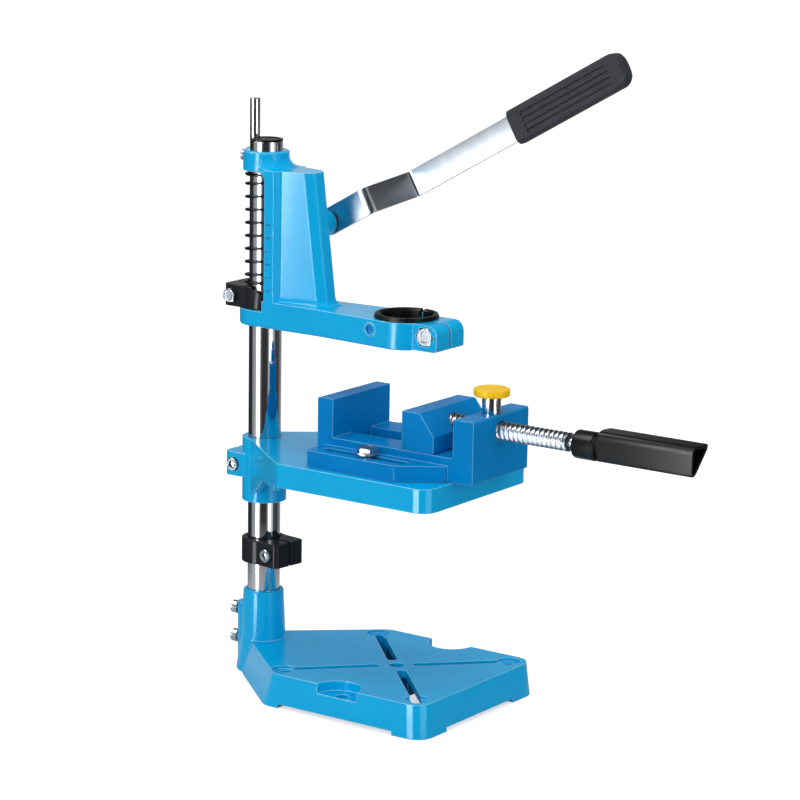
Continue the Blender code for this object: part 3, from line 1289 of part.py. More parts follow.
def cavity_half(front):
    """The +X half of the channel inside the housing, rear to front."""
    cheek_f = front - HOUSING_CHEEK_BACK
    return [
        (HOUSING_CHANNEL_HALF, -HOUSING_FLANGE_REAR_Y + OVERRUN),
        (HOUSING_CHANNEL_HALF, -HOUSING_FLANGE_FRONT_F + HOUSING_WALL),
        (HOUSING_PANEL_X - HOUSING_WALL, -HOUSING_PANEL_F),
        (HOUSING_CHEEK_X - HOUSING_WALL, -cheek_f + HOUSING_WALL / 2),
        (HOUSING_NOSE_X, HOUSING_WALL - front),
    ]


def front_at(height):
    """Fore distance of the housing's sloping front at a height."""
    slope = (HOUSING_FRONT_LOW_F - HOUSING_FRONT_TOP_F) / (HOUSING_TOP_Z - HOUSING_FRONT_LOW_Z)
    return HOUSING_FRONT_TOP_F + (HOUSING_TOP_Z - height) * slope


def arm_flare():
    """Angle by which the arm's sides spread from the housing's foot until they touch the ring."""
    run = ARM_RING_F - HOUSING_FRONT_LOW_F
    return math.asin(ARM_RING_R / math.hypot(run, ARM_HALF_W)) - math.atan2(ARM_HALF_W, run)


def arm_outline():
    """The arm's plan: round rear end, straight then flaring sides, ring and nose."""
    nose = math.sqrt(ARM_RING_R ** 2 - ARM_NOSE_HALF ** 2)
    centre = (0.0, -ARM_RING_F)
    end = math.atan2(-nose, -ARM_NOSE_HALF) + math.tau
    left = [(-ARM_HALF_W, -HOUSING_FRONT_LOW_F)]
    left += arc(centre, ARM_RING_R, math.pi - arm_flare(), end, ARC_STEPS * 2)
    points = arc((0.0, 0.0), ARM_HALF_W, 0.0, math.pi, ARC_STEPS * 4)
    points += left
    points += [(-x, y) for x, y in reversed(left)]
    return points


def make_head(materials):
    """The head casting: arm, clamp ring, nose, housing, top boss and depth-rod lug."""
    arm_top = ARM_BOTTOM_Z + ARM_H
    bm = prism(arm_outline(), ARM_BOTTOM_Z, arm_top)
    soften(bm, arm_top, ARM_EDGE_R)
    soften(bm, ARM_BOTTOM_Z, ARM_EDGE_R)
    head = object_from(bm, "head_casting", materials["paint"])
    nose_rear = ARM_RING_F + math.sqrt(ARM_RING_R ** 2 - ARM_NOSE_HALF ** 2) - OVERRUN
    nose_outline = round_corners([
        (nose_rear, ARM_BOTTOM_Z + ARM_NOSE_RISE),
        (ARM_NOSE_F, ARM_BOTTOM_Z + ARM_NOSE_RISE),
        (ARM_NOSE_F, arm_top),
        (nose_rear, arm_top),
    ], [0, ARM_EDGE_R, ARM_NOSE_ROUND, 0])
    nose = side_prism(nose_outline, ARM_NOSE_HALF)
    port_x = -ARM_HALF_W - (ARM_PORT_F - HOUSING_FRONT_LOW_F) * math.tan(arm_flare())
    port_z = ARM_BOTTOM_Z + ARM_PORT_H
    rim = rod_between((port_x - ARM_PORT_RIM_T, -ARM_PORT_F, port_z), (port_x + OVERRUN, -ARM_PORT_F, port_z),
                      ARM_PORT_RIM_R)
    fuse(head, helper(nose), rim)

    pocket_x = ARM_HALF_W - ARM_POCKET_WALL
    rear_cut = block((-ARM_HALF_W - OVERRUN, ARM_STEP_Y, arm_top - ARM_REAR_DROP),
                     (ARM_HALF_W + OVERRUN, ARM_HALF_W + OVERRUN, arm_top + OVERRUN))
    under = round_corners([
        (-pocket_x, -ARM_POCKET_FRONT_F), (pocket_x, -ARM_POCKET_FRONT_F),
        (pocket_x, -ARM_POCKET_REAR_F), (-pocket_x, -ARM_POCKET_REAR_F),
    ], [ARM_NOSE_CORNER] * 4, 3)
    cut(head, helper(rear_cut),
        helper(prism(under, ARM_BOTTOM_Z - OVERRUN, arm_top - ARM_POCKET_ROOF_T)))

    housing = helper(soften(loft(housing_rings(arm_top)), HOUSING_TOP_Z, HOUSING_TOP_EDGE_R))
    roof = HOUSING_TOP_Z - HOUSING_ROOF_T
    inner_r = [0, HOUSING_STEP_R, HOUSING_STEP_R, HOUSING_STEP_R, HOUSING_STEP_R]
    inner_bottom = arm_top - ARM_REAR_DROP
    rings = [level(round_corners(mirrored(cavity_half(front_at(h))), inner_r[::-1] + inner_r, 3), h)
             for h in (inner_bottom, roof)]
    cavity = helper(loft(rings))

    boss = helper(turned([
        (HEAD_BOSS_R, HEAD_BOSS_BOTTOM_Z),
        (HEAD_BOSS_R, HEAD_BOSS_TOP_Z - HEAD_BOSS_EDGE_R),
        (HEAD_BOSS_R - HEAD_BOSS_EDGE_R, HEAD_BOSS_TOP_Z),
    ]))
    lug = helper(prism(circle(ROD_LUG_R, SMALL_SEGS, (ROD_X, ROD_Y)), HEAD_BOSS_BOTTOM_Z,
                       HEAD_BOSS_TOP_Z - HEAD_BOSS_EDGE_R))
    shaft_boss = rod_between((BOSS_ROOT_X, -SHAFT_F, SHAFT_Z), (BOSS_END_X, -SHAFT_F, SHAFT_Z), BOSS_R,
                             ROUND_SEGS)
    fuse(head, housing, boss, lug, shaft_boss, boss_flare(), *flange_hooks())

    ring_y = -ARM_RING_F
    slit = ARM_SLIT / 2
    bolt_z = ARM_BOTTOM_Z + NOSE_BOLT_H
    bush_r = SHAFT_R + RUNNING + BUSH_WALL
    spring_room = SPRING_COIL_R + SPRING_WIRE_R + SPRING_CLEARANCE
    rack_slot_x = RACK_HALF_W + RACK_SLOT_GAP
    cutters = [
        cavity,
        rod_between((0.0, 0.0, roof - OVERRUN), (0.0, 0.0, HEAD_BOSS_BOTTOM_Z), spring_room, ROUND_SEGS),
        rod_between((0.0, 0.0, ARM_BOTTOM_Z - OVERRUN), (0.0, 0.0, HEAD_BOSS_TOP_Z + OVERRUN),
                    COLUMN_R + RUNNING, ROUND_SEGS),
        rod_between((0.0, ring_y, ARM_BOTTOM_Z - OVERRUN), (0.0, ring_y, arm_top + OVERRUN),
                    ARM_BORE_R, ROUND_SEGS),
        helper(block((-rack_slot_x, -rack_tip_f() - RACK_SLOT_GAP, roof - OVERRUN),
                     (rack_slot_x, OVERRUN - spring_room, rack_top_z() + head_travel() + RACK_SLOT_GAP))),
        helper(block((-slit, -ARM_NOSE_F - OVERRUN, ARM_BOTTOM_Z - OVERRUN),
                     (slit, ring_y - ARM_BORE_R + OVERRUN, arm_top + OVERRUN))),
        helper(block((-slit, ring_y + ARM_BORE_R - OVERRUN, ARM_BOTTOM_Z - OVERRUN),
                     (slit, -ARM_SLIT_REAR_F, arm_top + OVERRUN))),
        rod_between((-ARM_NOSE_HALF - OVERRUN, -NOSE_BOLT_F, bolt_z),
                    (ARM_NOSE_HALF + OVERRUN, -NOSE_BOLT_F, bolt_z), M8_SHANK_R + SEAT),
        rod_between((port_x - ARM_PORT_RIM_T - OVERRUN, -ARM_PORT_F, port_z),
                    (port_x + ARM_PORT_DEPTH, -ARM_PORT_F, port_z), ARM_PORT_R),
        rod_between((ROD_X, ROD_Y, HEAD_BOSS_BOTTOM_Z - OVERRUN), (ROD_X, ROD_Y, HEAD_BOSS_TOP_Z + OVERRUN),
                    ROD_R + RUNNING),
        rod_between((ROD_X, ROD_Y, ROD_SCREW_Z), (ROD_X, ROD_Y + ROD_LUG_R + OVERRUN, ROD_SCREW_Z),
                    M5_SHANK_R + SEAT),
        rod_between((0.0, -SHAFT_F, SHAFT_Z), (BOSS_END_X + OVERRUN, -SHAFT_F, SHAFT_Z), bush_r + SEAT),
    ]
    nut_pocket = helper(prism(hexagon(M8_HEX_AF + SEAT * 2, FASTENER_SEGS), 0.0, NOSE_POCKET_DEPTH + OVERRUN))
    aim(nut_pocket, (NOSE_POCKET_DEPTH - ARM_NOSE_HALF, -NOSE_BOLT_F, bolt_z), (-1.0, 0.0, 0.0))
    cutters.append(nut_pocket)
    cut(head, *cutters)
    return head


def boss_flare():
    """The flare that spreads from the top boss over the housing's top, kept within its outline."""
    radius = HEAD_BOSS_FLARE_R
    spread = HEAD_BOSS_R - RUNNING + radius
    profile = [(spread, HOUSING_TOP_Z - OVERRUN)]
    profile += arc((spread, HOUSING_TOP_Z + radius), radius, math.pi * 1.5, math.pi, ARC_STEPS)
    flare = helper(turned(profile))
    half = housing_half(front_at(HOUSING_TOP_Z))
    half[0] = (HOUSING_FLANGE_HALF, HOUSING_FLANGE_REAR_Y + HOUSING_HOOK_R)
    limit = inset(mirrored(half), RUNNING)
    combine(flare, [helper(prism(limit, HOUSING_TOP_Z - OVERRUN * 2, HEAD_BOSS_TOP_Z))], 'INTERSECT')
    return flare


def flange_hooks():
    """The webs that curve from the flanges' rear edges to the underside of the top boss."""
    rear = -HOUSING_FLANGE_REAR_Y
    radius = HOUSING_HOOK_R
    top = HOUSING_TOP_Z - HOUSING_TOP_EDGE_R / 2
    outline = [(rear + OVERRUN, top), (rear + OVERRUN, HEAD_BOSS_BOTTOM_Z - radius)]
    outline += arc((rear - radius, HEAD_BOSS_BOTTOM_Z - radius), radius, 0.0, math.pi / 2, ARC_STEPS)
    outline.append((rear - radius, top))
    hooks = []
    for side in (-1, 1):
        ends = sorted((side * HOUSING_PANEL_X, side * HOUSING_FLANGE_HALF))
        rings = [[Vector((x, -fore, height)) for fore, height in outline] for x in ends]
        hooks.append(helper(loft(rings)))
    return hooks


def make_head_fittings(materials):
    """Nose bolt and nut, adapter ring, depth rod and its screw."""
    bolt_z = ARM_BOTTOM_Z + NOSE_BOLT_H
    seat_x = ARM_NOSE_HALF + SEAT
    nut_x = NOSE_POCKET_DEPTH - ARM_NOSE_HALF - SEAT
    bolt = hex_bolt("nose_clamp_bolt", M8_SHANK_R, seat_x - nut_x + M8_NUT_H, M8_HEX_AF, M8_HEX_H,
                    materials["zinc"])
    aim(bolt, (seat_x, -NOSE_BOLT_F, bolt_z), (1.0, 0.0, 0.0))
    nut = hex_nut("nose_clamp_nut", M8_SHANK_R + SEAT, M8_HEX_AF, M8_NUT_H, materials["zinc"])
    aim(nut, (nut_x, -NOSE_BOLT_F, bolt_z), (-1.0, 0.0, 0.0))

    arm_top = ARM_BOTTOM_Z + ARM_H
    flange_z = arm_top + SEAT
    body_r = ARM_BORE_R - SEAT
    adapter = object_from(turned([
        (body_r, flange_z - ADAPTER_DEPTH),
        (body_r, flange_z),
        (ADAPTER_FLANGE_R, flange_z),
        (ADAPTER_FLANGE_R, flange_z + ADAPTER_FLANGE_T / 2),
        (ADAPTER_FLANGE_R - ADAPTER_STEP, flange_z + ADAPTER_FLANGE_T / 2),
        (ADAPTER_FLANGE_R - ADAPTER_STEP, flange_z + ADAPTER_FLANGE_T),
        (ADAPTER_BORE_R + ADAPTER_MOUTH, flange_z + ADAPTER_FLANGE_T),
        (ADAPTER_BORE_R, flange_z + ADAPTER_FLANGE_T - ADAPTER_MOUTH),
        (ADAPTER_BORE_R, flange_z - ADAPTER_DEPTH),
    ], ROUND_SEGS, cyclic=True), "adapter_ring", materials["black"])
    slit = helper(block((0.0, -ADAPTER_SLIT / 2, flange_z - ADAPTER_DEPTH - OVERRUN),
                        (ADAPTER_FLANGE_R + OVERRUN, ADAPTER_SLIT / 2, flange_z + ADAPTER_FLANGE_T + OVERRUN)))
    cut(adapter, slit)
    adapter.location = (0.0, -ARM_RING_F, 0.0)

    rod_bottom = collar_seat() + HEAD_COLLAR_H + head_travel() + ROD_STOP_GAP
    rod = object_from(turned([
        (ROD_R - ROD_EDGE, rod_bottom),
        (ROD_R, rod_bottom + ROD_EDGE),
        (ROD_R, ROD_TOP_Z - ROD_EDGE),
        (ROD_R - ROD_EDGE, ROD_TOP_Z),
    ], SMALL_SEGS), "depth_rod", materials["chrome"])
    rod.location = (ROD_X, ROD_Y, 0.0)
    seat_y = ROD_Y + ROD_LUG_R + SEAT
    screw = socket_screw("depth_rod_screw", M5_SHANK_R, seat_y - ROD_Y - ROD_R - SEAT, M5_HEAD_R, M5_HEAD_H,
                         M5_KEY_AF, M5_KEY_DEPTH, materials["zinc"])
    aim(screw, (ROD_X, seat_y, ROD_SCREW_Z), (0.0, 1.0, 0.0))


# Head collar, rack and return spring

def collar_seat():
    """Height of the head collar's underside, on the arm's lowered rear."""
    return ARM_BOTTOM_Z + ARM_H - ARM_REAR_DROP + HEAD_COLLAR_LIFT


def rack_pitch_f():
    """Fore distance of the rack's pitch line."""
    return SHAFT_F - GEAR_MODULE * GEAR_TEETH / 2


def rack_tip_f():
    """Fore distance of the rack teeth's tips."""
    return rack_pitch_f() + GEAR_MODULE


def rack_top_z():
    """Height of the rack's top, half a pitch above the tooth that meets the pinion."""
    return SHAFT_Z + math.pi * GEAR_MODULE / 2


def make_head_collar(materials):
    """The split collar above the arm, which carries the rack and the return spring."""
    floor = collar_seat()
    top = floor + HEAD_COLLAR_H
    turned_back = [(-x, -y) for x, y in clamp_outline(COLLAR_SLIT)]
    bm = prism(turned_back, floor, top)
    soften(bm, top, COLLAR_EDGE_R)
    collar = object_from(bm, "head_collar", materials["collar"])
    tongue = block((-HEAD_COLLAR_TONGUE_HALF, -RACK_BACK_F + SEAT, floor),
                   (HEAD_COLLAR_TONGUE_HALF, -(COLUMN_R + COLLAR_RING_R) / 2, floor + HEAD_COLLAR_TONGUE_H))
    fuse(collar, helper(tongue))
    drop = HEAD_COLLAR_SLOPE_DROP
    run = HEAD_COLLAR_SLOPE_Y - HEAD_COLLAR_FRONT_Y
    front = COLLAR_RING_R + OVERRUN
    slope_end = top - drop * (HEAD_COLLAR_SLOPE_Y + front) / run
    wedge = side_prism([(-HEAD_COLLAR_SLOPE_Y, top + SEAT), (-HEAD_COLLAR_SLOPE_Y, top),
                        (front, slope_end), (front, top + SEAT)][::-1], COLLAR_RING_R + OVERRUN)
    bolt_z = floor + HEAD_COLLAR_BOLT_H
    engage = COLLAR_BLOCK_HALF - COLLAR_BLOCK_CORNER / 2
    hole = rod_between((-COLLAR_BLOCK_HALF - OVERRUN, HEAD_COLLAR_BOLT_Y, bolt_z),
                       (engage, HEAD_COLLAR_BOLT_Y, bolt_z), M6_SHANK_R + SEAT)
    rack_screw_z = floor + HEAD_COLLAR_TONGUE_H / 2
    rack_hole = rod_between((0.0, -COLUMN_R - RUNNING * 2, rack_screw_z),
                            (0.0, -RACK_BACK_F - OVERRUN, rack_screw_z), RACK_SCREW_R + SEAT)
    cut(collar, helper(wedge), hole, rack_hole)
    bolt = hex_bolt("head_collar_bolt", M6_SHANK_R, COLLAR_BLOCK_HALF + engage, M6_HEX_AF, M6_HEX_H,
                    materials["zinc"])
    aim(bolt, (-COLLAR_BLOCK_HALF - SEAT, HEAD_COLLAR_BOLT_Y, bolt_z), (-1.0, 0.0, 0.0))
    make_rack(materials, rack_screw_z)


def make_rack(materials, screw_z):
    """The rack: a bar with involute-rack teeth facing the pinion."""
    pitch = math.pi * GEAR_MODULE
    pitch_f = rack_pitch_f()
    tip_f = rack_tip_f()
    root_f = pitch_f - GEAR_MODULE - GEAR_ROOT_CLEARANCE
    flank = math.tan(GEAR_PRESSURE)
    half_pitch_width = (pitch / 2 - GEAR_BACKLASH) / 2
    tip_half = half_pitch_width - GEAR_MODULE * flank
    root_half = half_pitch_width + (GEAR_MODULE + GEAR_ROOT_CLEARANCE) * flank
    travel = head_travel()
    reach = GEAR_MODULE * (GEAR_TEETH / 2 + 1) / 2
    below = math.ceil((travel + reach) / pitch)
    tooth_zs = [SHAFT_Z - pitch * index for index in range(below, -1, -1)]
    outline = [(RACK_BACK_F, RACK_BOTTOM_Z - RACK_TAIL_H), (root_f, RACK_BOTTOM_Z - RACK_TAIL_H)]
    for middle in tooth_zs:
        outline.append((root_f, middle - root_half))
        outline.append((tip_f, middle - tip_half))
        outline.append((tip_f, middle + tip_half))
        outline.append((root_f, middle + root_half))
    outline.append((root_f, rack_top_z()))
    outline.append((RACK_BACK_F, rack_top_z()))
    rack = object_from(side_prism(outline, RACK_HALF_W), "rack_bar", materials["zinc"], smooth=False)
    head_seat_f = root_f
    cut(rack, rod_between((0.0, OVERRUN - RACK_BACK_F, screw_z), (0.0, -root_f - OVERRUN, screw_z),
                          RACK_SCREW_R + SEAT))
    screw = object_from(turned([
        (RACK_SCREW_R, SEAT * 3 + COLUMN_R - head_seat_f),
        (RACK_SCREW_R, SEAT),
        (RACK_SCREW_HEAD_R, SEAT),
        (RACK_SCREW_HEAD_R, RACK_SCREW_HEAD_H - SCREW_EDGE),
        (RACK_SCREW_HEAD_R - SCREW_EDGE, RACK_SCREW_HEAD_H),
    ], SMALL_SEGS), "rack_screw", materials["zinc"])
    aim(screw, (0.0, -head_seat_f, screw_z), (0.0, -1.0, 0.0))


def head_travel():
    """How far the head comes down before the arm meets the vise jaws."""
    return ARM_BOTTOM_Z - (vise_bottom() + VISE_JAW_TOP_H) - HEAD_REST_GAP


def spring_points():
    """Centre line of the return spring: closed end turns and even active turns."""
    low = collar_seat() + HEAD_COLLAR_H + SEAT + SPRING_WIRE_R
    high = HEAD_BOSS_BOTTOM_Z - SEAT - SPRING_WIRE_R
    closed_rise = SPRING_CLOSED_PITCH * SPRING_CLOSED_TURNS
    active_rise = high - low - 2 * closed_rise
    turns = SPRING_ACTIVE_TURNS + 2 * SPRING_CLOSED_TURNS
    points = []
    for index in range(turns * SPRING_POINTS + 1):
        turn = index / SPRING_POINTS
        ease = min(max(turn - SPRING_CLOSED_TURNS, 0.0), float(SPRING_ACTIVE_TURNS))
        closed = turn - ease
        height = low + closed * SPRING_CLOSED_PITCH + active_rise * ease / SPRING_ACTIVE_TURNS
        angle = math.tau * turn
        points.append(Vector((SPRING_COIL_R * math.cos(angle), SPRING_COIL_R * math.sin(angle), height)))
    return points


def least_gap(points, wire_r, skip):
    """Least distance between turns of a wire, measured on its points."""
    least = None
    for index, point in enumerate(points):
        for other in points[index + skip:]:
            gap = (point - other).length - 2 * wire_r
            if least is None or gap < least:
                least = gap
    return least


def make_return_spring(materials):
    """The coil spring round the column that lifts the head."""
    points = spring_points()
    tube(points, SPRING_WIRE_R, "return_spring", materials["spring"])
    print("return_spring least gap between turns (m):",
          round(least_gap(points, SPRING_WIRE_R, SPRING_POINTS // 2), 6))


# Feed shaft and pinion, turned about the shaft's axis along X

def gear_outline():
    """Involute tooth outline with a tooth space centred at angle zero."""
    pitch_r = GEAR_MODULE * GEAR_TEETH / 2
    base_r = pitch_r * math.cos(GEAR_PRESSURE)
    tip_r = pitch_r + GEAR_MODULE
    root_r = pitch_r - GEAR_MODULE - GEAR_ROOT_CLEARANCE
    start_r = max(base_r, root_r)

    def roll_angle(radius):
        pressure = math.acos(min(1.0, base_r / radius))
        return math.tan(pressure) - pressure

    tooth_half = math.pi / (2 * GEAR_TEETH) - GEAR_BACKLASH / 2 / pitch_r
    base_half = tooth_half + roll_angle(pitch_r)
    points = []
    for tooth in range(GEAR_TEETH):
        middle = math.tau * (tooth + 0.5) / GEAR_TEETH
        flank = []
        for step in range(GEAR_FLANK_STEPS + 1):
            radius = start_r + (tip_r - start_r) * step / GEAR_FLANK_STEPS
            flank.append((radius, base_half - roll_angle(radius)))
        if root_r < start_r:
            flank.insert(0, (root_r, base_half))
        for radius, half in flank:
            points.append((radius * math.cos(middle - half), radius * math.sin(middle - half)))
        for radius, half in reversed(flank):
            points.append((radius * math.cos(middle + half), radius * math.sin(middle + half)))
    return points


def lever_inner_x():
    """Near face of the lever strip, which runs against the bush's flange."""
    return BOSS_END_X + SEAT + BUSH_FLANGE_T + RUNNING


def make_pinion(materials):
    """Pinion, shaft, cross pin and bush."""
    gear_bm = prism(gear_outline(), -GEAR_HALF_W, GEAR_HALF_W)
    turn = Matrix.Rotation(math.pi / 2, 4, 'Y')
    gear_bm.transform(turn)
    gear_bm.transform(Matrix.Rotation(math.pi / 2, 4, 'X'))
    gear = object_from(gear_bm, "pinion", materials["zinc"], smooth=False)
    gear.location = (0.0, -SHAFT_F, SHAFT_Z)
    pin_reach = SHAFT_R + (GEAR_MODULE * (GEAR_TEETH / 2 - 1) - GEAR_ROOT_CLEARANCE - SHAFT_R) / 2
    cut(gear, rod_between((-GEAR_HALF_W - OVERRUN, -SHAFT_F, SHAFT_Z),
                          (GEAR_HALF_W + OVERRUN, -SHAFT_F, SHAFT_Z), SHAFT_R + SEAT, ROUND_SEGS),
        rod_between((0.0, -SHAFT_F, SHAFT_Z - pin_reach - SEAT), (0.0, -SHAFT_F, SHAFT_Z + pin_reach + SEAT),
                    PIN_R + SEAT, SMALL_SEGS // 2))
    tenon_end = lever_inner_x() + LEVER_T - SEAT
    shoulder = lever_inner_x() - SEAT
    shaft = object_from(turned([
        (SHAFT_R - SHAFT_EDGE, SHAFT_INNER_X),
        (SHAFT_R, SHAFT_INNER_X + SHAFT_EDGE),
        (SHAFT_R, tenon_end),
    ], ROUND_SEGS), "pinion_shaft", materials["zinc"])
    aim(shaft, (0.0, -SHAFT_F, SHAFT_Z), (1.0, 0.0, 0.0))
    flats = []
    for side in (-1, 1):
        flat = helper(block((shoulder, -SHAFT_R * 2, TENON_FLAT_HALF),
                            (tenon_end + OVERRUN, SHAFT_R * 2, SHAFT_R * 2)))
        turn_by = -LEVER_ANGLE if side < 0 else math.pi - LEVER_ANGLE
        flat.matrix_world = Matrix.Translation((0.0, -SHAFT_F, SHAFT_Z)) @ Matrix.Rotation(turn_by, 4, 'X')
        flats.append(flat)
    bore_depth = BOSS_END_X - GEAR_HALF_W
    cut(shaft, *flats,
        rod_between((0.0, -SHAFT_F, SHAFT_Z - pin_reach), (0.0, -SHAFT_F, SHAFT_Z + pin_reach),
                    PIN_R + SEAT, SMALL_SEGS // 2),
        rod_between((tenon_end - bore_depth / 2, -SHAFT_F, SHAFT_Z), (tenon_end + OVERRUN, -SHAFT_F, SHAFT_Z),
                    M6_SHANK_R + SEAT))
    pin = object_from(turned([(PIN_R, -pin_reach), (PIN_R, pin_reach)], SMALL_SEGS // 2), "pinion_pin",
                      materials["zinc"])
    pin.location = (0.0, -SHAFT_F, SHAFT_Z)
    bush_r = SHAFT_R + RUNNING
    flange_x = BOSS_END_X + SEAT
    bush = object_from(turned([
        (bush_r + BUSH_WALL, GEAR_HALF_W + RUNNING * 2),
        (bush_r + BUSH_WALL, flange_x),
        (BUSH_FLANGE_R, flange_x),
        (BUSH_FLANGE_R, flange_x + BUSH_FLANGE_T),
        (bush_r, flange_x + BUSH_FLANGE_T),
        (bush_r, GEAR_HALF_W + RUNNING * 2),
    ], ROUND_SEGS, cyclic=True), "shaft_bush", materials["bronze"])
    aim(bush, (0.0, -SHAFT_F, SHAFT_Z), (1.0, 0.0, 0.0))
    bolt = hex_bolt("lever_bolt", M6_SHANK_R, bore_depth / 2 - RUNNING, M6_HEX_AF, M6_HEX_H, materials["zinc"],
                    SHAFT_R + M6_SHANK_R / 2, SCREW_EDGE * 2)
    aim(bolt, (lever_inner_x() + LEVER_T + SEAT, -SHAFT_F, SHAFT_Z), (1.0, 0.0, 0.0))


# Lever, built with r along +X, width along +Y and the axis offset along +Z, then turned into place

def lever_path():
    """Centre line of the strip in (r, x) with rounded bends, and its width offset at each point."""
    inner = lever_inner_x() + LEVER_T / 2
    outer = LEVER_OUTER_X
    corners = [(0.0, inner), (LEVER_BEND_IN_R, inner), (LEVER_BEND_OUT_R, outer), (LEVER_TIP_R, outer)]
    path = round_corners(corners, [0, LEVER_BEND_ROUND, LEVER_BEND_ROUND, 0], ARC_STEPS)
    return [(r, x, LEVER_OFFSET * (x - inner) / (outer - inner)) for r, x in path]


def lever_matrix():
    """Turns the lever's own frame (r, width, x) into the stand's frame."""
    fore = Vector((0.0, -math.cos(LEVER_ANGLE), math.sin(LEVER_ANGLE)))
    across = Vector((0.0, math.sin(LEVER_ANGLE), math.cos(LEVER_ANGLE)))
    out = Vector((1.0, 0.0, 0.0))
    return Matrix((
        (fore.x, across.x, out.x, 0.0),
        (fore.y, across.y, out.y, 0.0),
        (fore.z, across.z, out.z, 0.0),
        (0.0, 0.0, 0.0, 1.0),
    ))


def strip_ring(centre, tangent, half_w, half_t, offset):
    """A chamfered rectangle across the strip at one point of its path."""
    normal = Vector((-tangent.y, tangent.x))
    edge = min(LEVER_EDGE, half_w / 2)
    corners = [(half_w - edge, half_t), (half_w, half_t - edge), (half_w, edge - half_t), (half_w - edge, -half_t),
               (edge - half_w, -half_t), (-half_w, edge - half_t), (-half_w, half_t - edge), (edge - half_w, half_t)]
    ring = []
    for width, thick in corners:
        place = centre + normal * thick
        ring.append(Vector((place.x, width + offset, place.y)))
    return ring


def strip_rings(path, half_w, half_t):
    """Rings along the path of the strip, square to it."""
    rings = []
    for index, (r, x, offset) in enumerate(path):
        here = Vector((r, x))
        ahead = Vector(path[min(index + 1, len(path) - 1)][:2])
        behind = Vector(path[max(index - 1, 0)][:2])
        into = (here - behind).normalized() if index else (ahead - here).normalized()
        out = (ahead - here).normalized() if index < len(path) - 1 else into
        tangent = (into + out).normalized()
        stretch = 1.0 / max(tangent.dot(into), 0.5)
        rings.append(strip_ring(here, tangent, half_w, half_t * stretch, offset))
    return rings


def make_lever(materials):
    """The cranked strip and its moulded grip."""
    half_w = LEVER_W / 2
    half_t = LEVER_T / 2
    path = lever_path()
    inner = lever_inner_x() + half_t
    nose = []
    steps = ARC_STEPS * 2
    for step in range(1, steps):
        angle = math.pi / 2 * step / steps
        nose.append(strip_ring(Vector((-half_w * math.cos(angle), inner)), Vector((1.0, 0.0)),
                               half_w * math.sin(angle), half_t, 0.0))
    lever = object_from(loft(nose + strip_rings(path, half_w, half_t)), "lever_arm", materials["zinc"])
    place = Matrix.Translation((0.0, -SHAFT_F, SHAFT_Z)) @ lever_matrix()
    hole = helper(tenon_outline_prism(inner))
    cut(lever, hole)
    lever.matrix_world = place

    start, tip = GRIP_START_R, GRIP_TIP_R
    grip_half = GRIP_W / 2
    outline = round_corners([(start, -grip_half), (tip, -grip_half), (tip, grip_half), (start, grip_half)],
                            [GRIP_CHAMFER, GRIP_TIP_ROUND, GRIP_TIP_ROUND, GRIP_CHAMFER])
    low = LEVER_OUTER_X - GRIP_T / 2
    high = LEVER_OUTER_X + GRIP_T / 2
    bm = prism(outline, low, high)
    soften(bm, low, GRIP_CHAMFER, 1)
    soften(bm, high, GRIP_CHAMFER, 1)
    grip = object_from(bm, "lever_grip", materials["grip"])
    cutters = [helper(block((start - OVERRUN, -half_w - SEAT, LEVER_OUTER_X - half_t - SEAT),
                            (LEVER_TIP_R + SEAT, half_w + SEAT, LEVER_OUTER_X + half_t + SEAT)))]
    for index in range(GRIP_GROOVES):
        across = (index - (GRIP_GROOVES - 1) / 2) * GRIP_GROOVE_PITCH
        cutters.append(helper(prism(
            capsule(Vector((start + GRIP_GROOVE_START, across)), Vector((tip - GRIP_GROOVE_END, across)),
                    GRIP_GROOVE_W / 2), low - OVERRUN, low + GRIP_GROOVE_DEPTH)))
    cut(grip, *cutters)
    grip.matrix_world = place @ Matrix.Translation((0.0, LEVER_OFFSET, 0.0))


def tenon_outline_prism(inner):
    """The double-D hole that fits the shaft's tenon."""
    radius = SHAFT_R + SEAT
    flat = TENON_FLAT_HALF + SEAT
    reach = math.acos(flat / radius)
    points = []
    for side in (1, -1):
        middle = 0.0 if side > 0 else math.pi
        points += arc((0.0, 0.0), radius, middle - math.pi / 2 + reach, middle + math.pi / 2 - reach, ARC_STEPS * 2)
    return prism(points, inner - LEVER_T, inner + LEVER_T)


def main():
    """Build the stand."""
    clear_scene()
    materials = stand_materials()
    make_base(materials["paint"])
    make_column(materials)
    make_stop_collar(materials)
    make_table(materials)
    make_vise(materials)
    make_moving_jaw(materials)
    make_vise_screw(materials)
    make_head(materials)
    make_head_fittings(materials)
    make_head_collar(materials)
    make_return_spring(materials)
    make_pinion(materials)
    make_lever(materials)


main()
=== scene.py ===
"""The dressed view of a drill stand.

A blue enamelled casting set slides on a chromed column: base, stop collar, work table with a
drill vise, and the feed head with its rack, pinion and long bent lever. The solids come from the
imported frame; this script lays finished surfaces over them and lights them for a studio picture.
"""

from __future__ import annotations

import json
import logging
import math
import sys
from collections.abc import Sequence
from dataclasses import dataclass, field
from enum import Enum

import bmesh
import bpy
import numpy as np
from mathutils import Matrix, Vector

